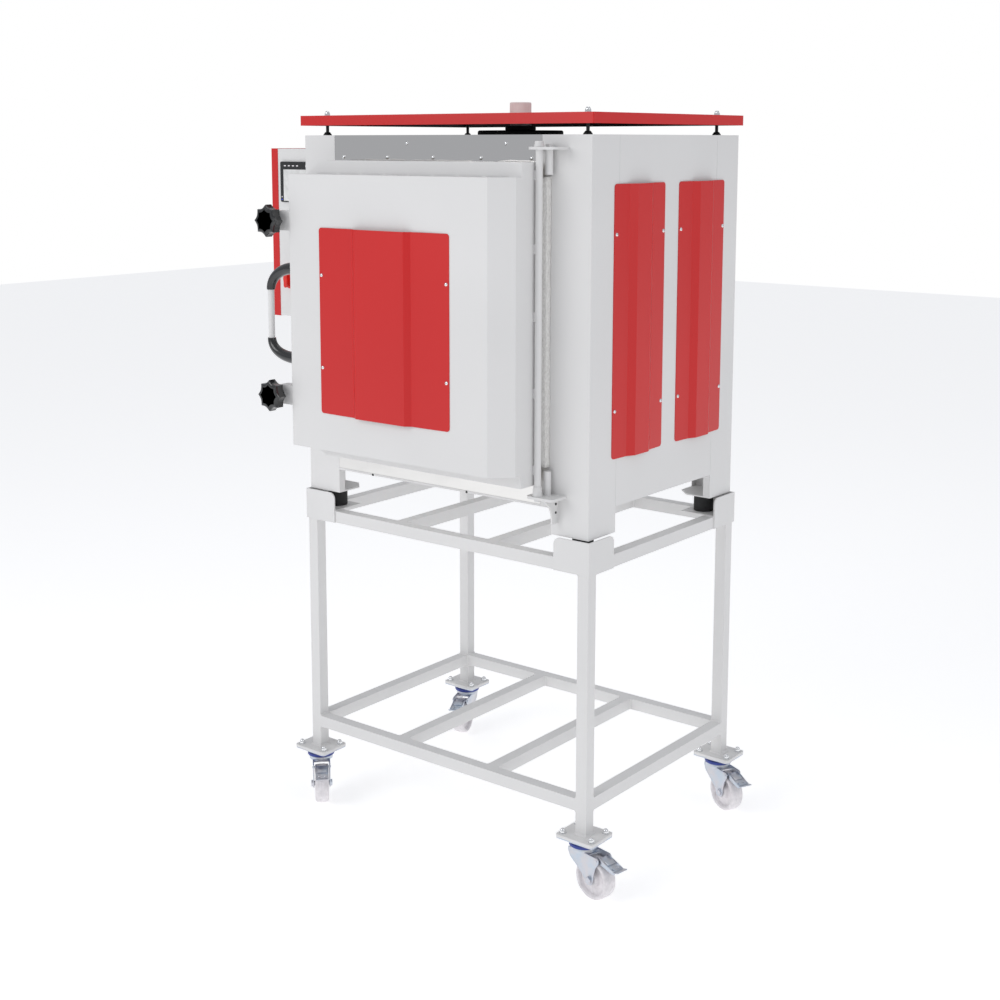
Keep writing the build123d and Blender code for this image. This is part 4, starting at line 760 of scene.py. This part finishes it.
# %% Pressed forks
CHEEK_OUTLINE = [
    (-30, 110), (-31, 102), (-24, 88), (14, 60), (26, 46), (29, 41), (35, 38), (41, 38), (47, 42),
    (50, 50), (52, 66), (57, 84), (66, 98), (67, 106), (62, 111), (30, 112),
]
for corner in CORNERS:
    cheeks = [
        moved(plate(CHEEK_OUTLINE, 3.0, 1.0), Matrix.Translation((0, y, 0))) for y in (-23, 20)
    ]
    crown = block((-30, -22, 106), (34, 22, 110), 1.2)
    race = lathe([(0, 108), (31, 108), (31.5, 112), (30, 117), (27, 118.2), (0, 118.2)], 48)
    pin = lathe([(0, 101.5), (8, 101.5), (9.5, 103), (9.5, 106.5), (0, 106.5)], 24)
    axle = moved(lathe([(0, -25), (6, -25), (6, 25), (0, 25)], 24), ALONG_Y)
    heads = [moved(prism(19.0, 5.0, 6, 0.8, 23.0), ALONG_Y)]
    heads.append(moved(prism(19.0, 5.0, 6, 0.8, 23.0), ALONG_Y.inverted()))
    bolt = moved(join(axle, *heads), Matrix.Translation((TRAIL, 0, AXLE_Z)))
    hinge_pin = moved(lathe([(0, -24.5), (3, -24.5), (3, 24.5), (0, 24.5)], 16), ALONG_Y)
    moved(hinge_pin, Matrix.Translation((60, 0, 104)))
    fork = join(*cheeks, crown, race, pin, bolt, hinge_pin)
    finish_piece(
        placed(fork, [SEATS[corner]]),
        f"{corner}_pressed_fork", f"{corner}_castor_fork", zinc_steel,
        (f"{corner}_castor_fork",),
    )

# %% [markdown]
# The brake pedal has two side flanges, a plate between them with a raised bridge and two
# rivets, and a lip that the toe presses.

# %% Brake pedals
FLANGE_OUTLINE = [
    (54, 108), (58, 111.5), (64, 111), (98, 97.5), (112, 92), (113, 88), (108, 86), (92, 90),
    (62, 97), (55, 100),
]
for corner in CORNERS:
    flanges = [
        moved(plate(FLANGE_OUTLINE, 2.0, 0.7), Matrix.Translation((0, y, 0))) for y in (-17, 15)
    ]
    slope = Matrix.Translation((60, 0, 107.5)) @ Matrix.Rotation(radians(20), 4, "Y")
    web = moved(block((2, -16, -1.2), (54, 16, 1.2), 0.8), slope)
    bridge = moved(block((16, -13, 0.5), (30, 13, 4.6), 1.6, 3), slope)
    lip = moved(
        block((0, -17, -1.6), (16, 17, 1.6), 1.4, 3),
        Matrix.Translation((106, 0, 90.5)) @ Matrix.Rotation(radians(-14), 4, "Y"),
    )
    studs = [
        moved(
            lathe([(0, 3.4), (2.2, 3.4), (3.4, 2.4), (3.6, 0)], 16),
            slope @ Matrix.Translation((x, y, 1)),
        )
        for x, y in ((42, -8), (42, 8))
    ]
    finish_piece(
        placed(join(*flanges, web, bridge, lip, *studs), [SEATS[corner]]),
        f"{corner}_brake_pedal", f"{corner}_castor_pedal", zinc_steel,
        (f"{corner}_castor_pedal",),
    )

# %% Castor bolts with domed cap nuts, and the blue dust rings
bolt_pattern = join(
    prism(15.0, 6.6, 6, 0.8, 10.0),
    lathe([(0, 9.6), (8.6, 9.6), (8.6, 10.9), (6.6, 11.2)], 20),
    lathe([(6.2, 16.4), (5.6, 18.4), (4.2, 20.4), (2.4, 21.7), (0, 22.0)], 20),
    lathe([(0, -5.2), (5.0, -5.0), (7.0, -3.4), (7.4, -1.0), (7.4, 0.4), (0, 0.4)], 20),
)
PLATE_BOTTOM = 135.5
bolt_seats = [
    Matrix.Translation(SEATS[corner].translation + Vector((x * MM, y * MM, PLATE_BOTTOM * MM)))
    for corner in CORNERS
    for x in (-40, 40)
    for y in (-30, 30)
]
finish_piece(
    placed(bolt_pattern, bolt_seats),
    "castor_cap_bolts", "kiln", bright_steel, ("castor_bolts",),
)
ring_profile = [
    (10, 119), (33.5, 118.6), (35.6, 120), (36, 122.4), (35.4, 126.4), (33, 127.4), (10, 127.4),
]
ring_seats = [Matrix.Translation(SEATS[corner].translation) for corner in CORNERS]
finish_piece(
    placed(lathe(ring_profile, 48, closed=True), ring_seats),
    "blue_dust_rings", "kiln", blue_plastic, ("castor_dust_rings",),
)

# %% [markdown]
# ## Welds of the stand
# The stand is welded square tube. A fillet weld is a short triangular bead with a rippled
# surface in each inside corner; on the outside it is ground flat and shows nothing.


# %% Weld beads
def bead(length):
    """Rippled triangular bead along X, in the corner between +Y and +Z."""
    mesh = bmesh.new()
    section = ((0, 0), (4.2, 0), (2.4, 2.4), (0, 4.2))
    corner = [mesh.verts.new((-length / 2, y, z)) for y, z in section]
    face = mesh.faces.new(corner)
    steps = max(4, int(length / 2.4))
    front = [face]
    for step in range(steps):
        made = bmesh.ops.extrude_face_region(mesh, geom=front)["geom"]
        verts = [v for v in made if isinstance(v, bmesh.types.BMVert)]
        bmesh.ops.translate(mesh, vec=(length / steps, 0, 0), verts=verts)
        swell = 1.12 if step % 2 else 0.893
        bmesh.ops.scale(mesh, vec=(1, swell, swell), verts=verts)
        front = [f for f in made if isinstance(f, bmesh.types.BMFace)]
    return mesh


TUBE_HALF = 15.0
LEG_AT = (430.0, 310.0)
INNER_AT = (LEG_AT[0] - TUBE_HALF, LEG_AT[1] - TUBE_HALF)
FRAME_HEIGHTS = (216.0, 784.0)
CROSS_RAIL_X = 145.0
LEG_FOOT_Z = 145.0
weld_seats = []
for z in FRAME_HEIGHTS:
    for side in (-1, 1):
        for end in (-1, 1):
            leg_x = MIDDLE.x + side * LEG_AT[0] * MM
            leg_y = MIDDLE.y + end * LEG_AT[1] * MM
            leg = Vector((leg_x, leg_y, z * MM))
            inward_x, inward_y = Vector((-side, 0, 0)), Vector((0, -end, 0))
            for inward, across in ((inward_x, inward_y), (inward_y, inward_x)):
                root = leg + inward * TUBE_HALF * MM
                for lift in (-UP, UP) if z < 500 else (-UP,):
                    spot = root + lift * TUBE_HALF * MM
                    seat = Matrix((across, inward, lift)).transposed().to_4x4()
                    weld_seats.append(Matrix.Translation(spot) @ seat)
upright_seats = []
for z in FRAME_HEIGHTS:
    for side in (-1, 1):
        for end in (-1, 1):
            inward_x, inward_y = Vector((-side, 0, 0)), Vector((0, -end, 0))
            inner_x = MIDDLE.x + side * INNER_AT[0] * MM
            inner_y = MIDDLE.y + end * INNER_AT[1] * MM
            corner = Vector((inner_x, inner_y, z * MM))
            seat = Matrix((UP, inward_x, inward_y)).transposed().to_4x4()
            upright_seats.append(Matrix.Translation(corner) @ seat)
        for x in (-CROSS_RAIL_X, CROSS_RAIL_X):
            for face in (-1, 1):
                weld_x = MIDDLE.x + (x + face * TUBE_HALF) * MM
                weld_y = MIDDLE.y + side * INNER_AT[1] * MM
                spot = Vector((weld_x, weld_y, z * MM))
                seat = Matrix((UP, Vector((face, 0, 0)), Vector((0, -side, 0))))
                seat = seat.transposed().to_4x4()
                upright_seats.append(Matrix.Translation(spot) @ seat)
foot_seats = []
for corner in CORNERS:
    for outward in (Vector((1, 0, 0)), Vector((-1, 0, 0)), Vector((0, 1, 0)), Vector((0, -1, 0))):
        spot = SEATS[corner].translation + outward * TUBE_HALF * MM + UP * LEG_FOOT_Z * MM
        seat = Matrix((UP.cross(outward), outward, UP)).transposed().to_4x4()
        foot_seats.append(Matrix.Translation(spot) @ seat)
welds = join(placed(bead(29.0), weld_seats + upright_seats), placed(bead(34.0), foot_seats))
finish_piece(welds, "stand_weld_beads", "kiln", pale_coat, smooth_angle=60.0)

# %% [markdown]
# ## Star knobs
# The clamp knobs are glossy black mouldings with eight points. A circle is drawn in and out by
# a folded sine, then raised, bevelled and recessed, which gives hollow flanks between points.


# %% Star knobs
def star_knob():
    """Star head with a rounded rim and a centre recess, and its hub, standing on Z = 0."""
    mesh = bmesh.new()
    bmesh.ops.create_circle(mesh, cap_ends=True, segments=96, radius=1.0)
    for vertex in mesh.verts:
        turn = atan2(vertex.co.y, vertex.co.x)
        reach = 30.6 + 6.8 * (1.0 - abs(sin(4 * turn)) ** 0.8)
        vertex.co *= reach
    bmesh.ops.translate(mesh, vec=(0, 0, 14.3), verts=mesh.verts)
    face = list(mesh.faces)[0]
    steps = [
        (1.6, 1.05), (18.0, 1.0), (3.2, 0.965), (1.9, 0.9), (0.7, 0.82), (0.0, 0.42), (-2.0, 0.95)
    ]
    for rise, grow in steps:
        made = bmesh.ops.extrude_face_region(mesh, geom=[face])["geom"]
        verts = [v for v in made if isinstance(v, bmesh.types.BMVert)]
        bmesh.ops.translate(mesh, vec=(0, 0, rise), verts=verts)
        bmesh.ops.scale(mesh, vec=(grow, grow, 1.0), verts=verts)
        face = [f for f in made if isinstance(f, bmesh.types.BMFace)][0]
    hub = lathe([(0, 0), (16.6, 0), (18, 1.2), (18, 14.6), (20, 16.0), (0, 16.0)], 40)
    return join(mesh, hub)


for level in ("upper", "lower"):
    cad_knob_low, cad_knob_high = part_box(f"{level}_clamp_knob")
    spot = (cad_knob_low + cad_knob_high) / 2
    spot.y = cad_knob_high.y
    depth = (cad_knob_high.y - cad_knob_low.y) / MM
    knob = moved(star_knob(), Matrix.Scale(depth / 39.7, 4, (0, 0, 1)))
    finish_piece(
        placed(knob, [standing(spot, FRONT_DIR)]),
        f"{level}_star_knob", f"{level}_clamp_knob_body", black_plastic,
        (f"{level}_clamp_knob",), 50.0,
    )

# %% [markdown]
# ## Fibre seal
# The door closes on a strip of ceramic fibre. It is cut by hand, so its outer edge is torn and
# its thickness wanders. The strip is a frame of quads round the firebrick whose outer points
# are pushed in and out by noise.

# %% Torn fibre seal
seal_low, seal_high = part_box("door_seal")
seal_mesh = bmesh.new()
depth_steps = 7
seal_wide, seal_tall = seal_high.x - seal_low.x, seal_high.z - seal_low.z
border = 48 * MM
run_steps = 90
rails = []
for corner_a, corner_b in (((0, 0), (1, 0)), ((1, 0), (1, 1)), ((1, 1), (0, 1)), ((0, 1), (0, 0))):
    for step in range(run_steps):
        share = step / run_steps
        rails.append((
            corner_a[0] + (corner_b[0] - corner_a[0]) * share,
            corner_a[1] + (corner_b[1] - corner_a[1]) * share,
        ))
loops = []
for layer in range(depth_steps + 1):
    y = seal_low.y + (seal_high.y - seal_low.y) * layer / depth_steps
    loop = []
    for u, v in rails:
        point = Vector((seal_low.x + u * seal_wide, y, seal_low.z + v * seal_tall))
        middle = (seal_low + seal_high) / 2
        wander = noise.noise(point * 28.0) + 0.6 * noise.noise(point * 95.0)
        inset = (2.6 + 2.2 * wander) * MM
        toward = Vector((middle.x - point.x, 0, middle.z - point.z)).normalized()
        if 0 < layer < depth_steps:
            inset *= 0.8
        loop.append(seal_mesh.verts.new(point + toward * max(inset, 0.2 * MM)))
    loops.append(loop)
for first, second in zip(loops, loops[1:]):
    for index in range(len(rails)):
        after = (index + 1) % len(rails)
        seal_mesh.faces.new((first[index], first[after], second[after], second[index]))
for loop, y in ((loops[0], seal_low.y), (loops[-1], seal_high.y)):
    inner = []
    for u, v in rails:
        inner.append(seal_mesh.verts.new((
            seal_low.x + border + u * (seal_wide - 2 * border),
            y,
            seal_low.z + border + v * (seal_tall - 2 * border),
        )))
    for index in range(len(rails)):
        after = (index + 1) % len(rails)
        seal_mesh.faces.new((loop[index], loop[after], inner[after], inner[index]))
    if loop is loops[0]:
        front_inner = inner
for index in range(len(rails)):
    after = (index + 1) % len(rails)
    seal_mesh.faces.new((front_inner[index], front_inner[after], inner[after], inner[index]))
finish_piece(seal_mesh, "torn_fibre_seal", "door", fibre, ("door_seal",), 180.0)

# %% [markdown]
# ## Controller
# The controller on the left side box has a black bezel round a pale display, four marks along
# its top band, and a white dot over a small blue light at the lower left.

# %% Controller face
screen_low, screen_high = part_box("controller")
screen_wide = (screen_high.x - screen_low.x) / MM
screen_tall = (screen_high.z - screen_low.z) / MM
FACE = Matrix.Translation((screen_low.x, screen_low.y, screen_low.z))
display = block((12, -0.7, 3), (screen_wide - 3, 0.2, screen_tall - 20), 0.3)
finish_piece(
    placed(display, [FACE]), "controller_display", "kiln", pale_plastic
)
marks = [
    block((14 + 15 * n, -0.7, screen_tall - 12), (21 + 15 * n, 0.2, screen_tall - 9), 0.2)
    for n in range(4)
]
marks.append(block((4, -0.7, 12), (7, 0.2, 15), 0.2))
finish_piece(placed(join(*marks), [FACE]), "controller_marks", "kiln", white_nylon)
light = new_material("blue_light", (0.05, 0.12, 0.9), 0.3)
finish_piece(
    placed(block((4, -0.7, 5), (7, 0.2, 8), 0.2), [FACE]),
    "controller_light", "kiln", light,
)
frame["nodes"]["controller"].data.materials[0] = black_plastic

# %% [markdown]
# ## Collar of the flue
# A dark collar fills the height between the flange on the deck and the lid. It is painted shade:
# it darkens the flue where the lid shades it.

# %% Flue collar of painted shade
deck_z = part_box("chimney_flange")[1].z
lid_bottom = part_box("heat_shield_lid")[0].z
# The collar's near black stands in for the shade under the lid.
shade_collar_profile = [
    (27.4, 0), (37.0, 0), (38.5, 1.2), (38.5, (lid_bottom - deck_z) / MM - 0.6),
    (27.4, (lid_bottom - deck_z) / MM - 0.6),
]
shade_collar_seat = Vector((flue_middle.x, flue_middle.y, deck_z))
finish_piece(
    placed(lathe(shade_collar_profile, 48, closed=True), [standing(shade_collar_seat)]),
    "flue_painted_shade_collar", "kiln", dark_metal_and_shade,
)

# %% [markdown]
# ## Finish

# %% Finish
print("kiln dressed")
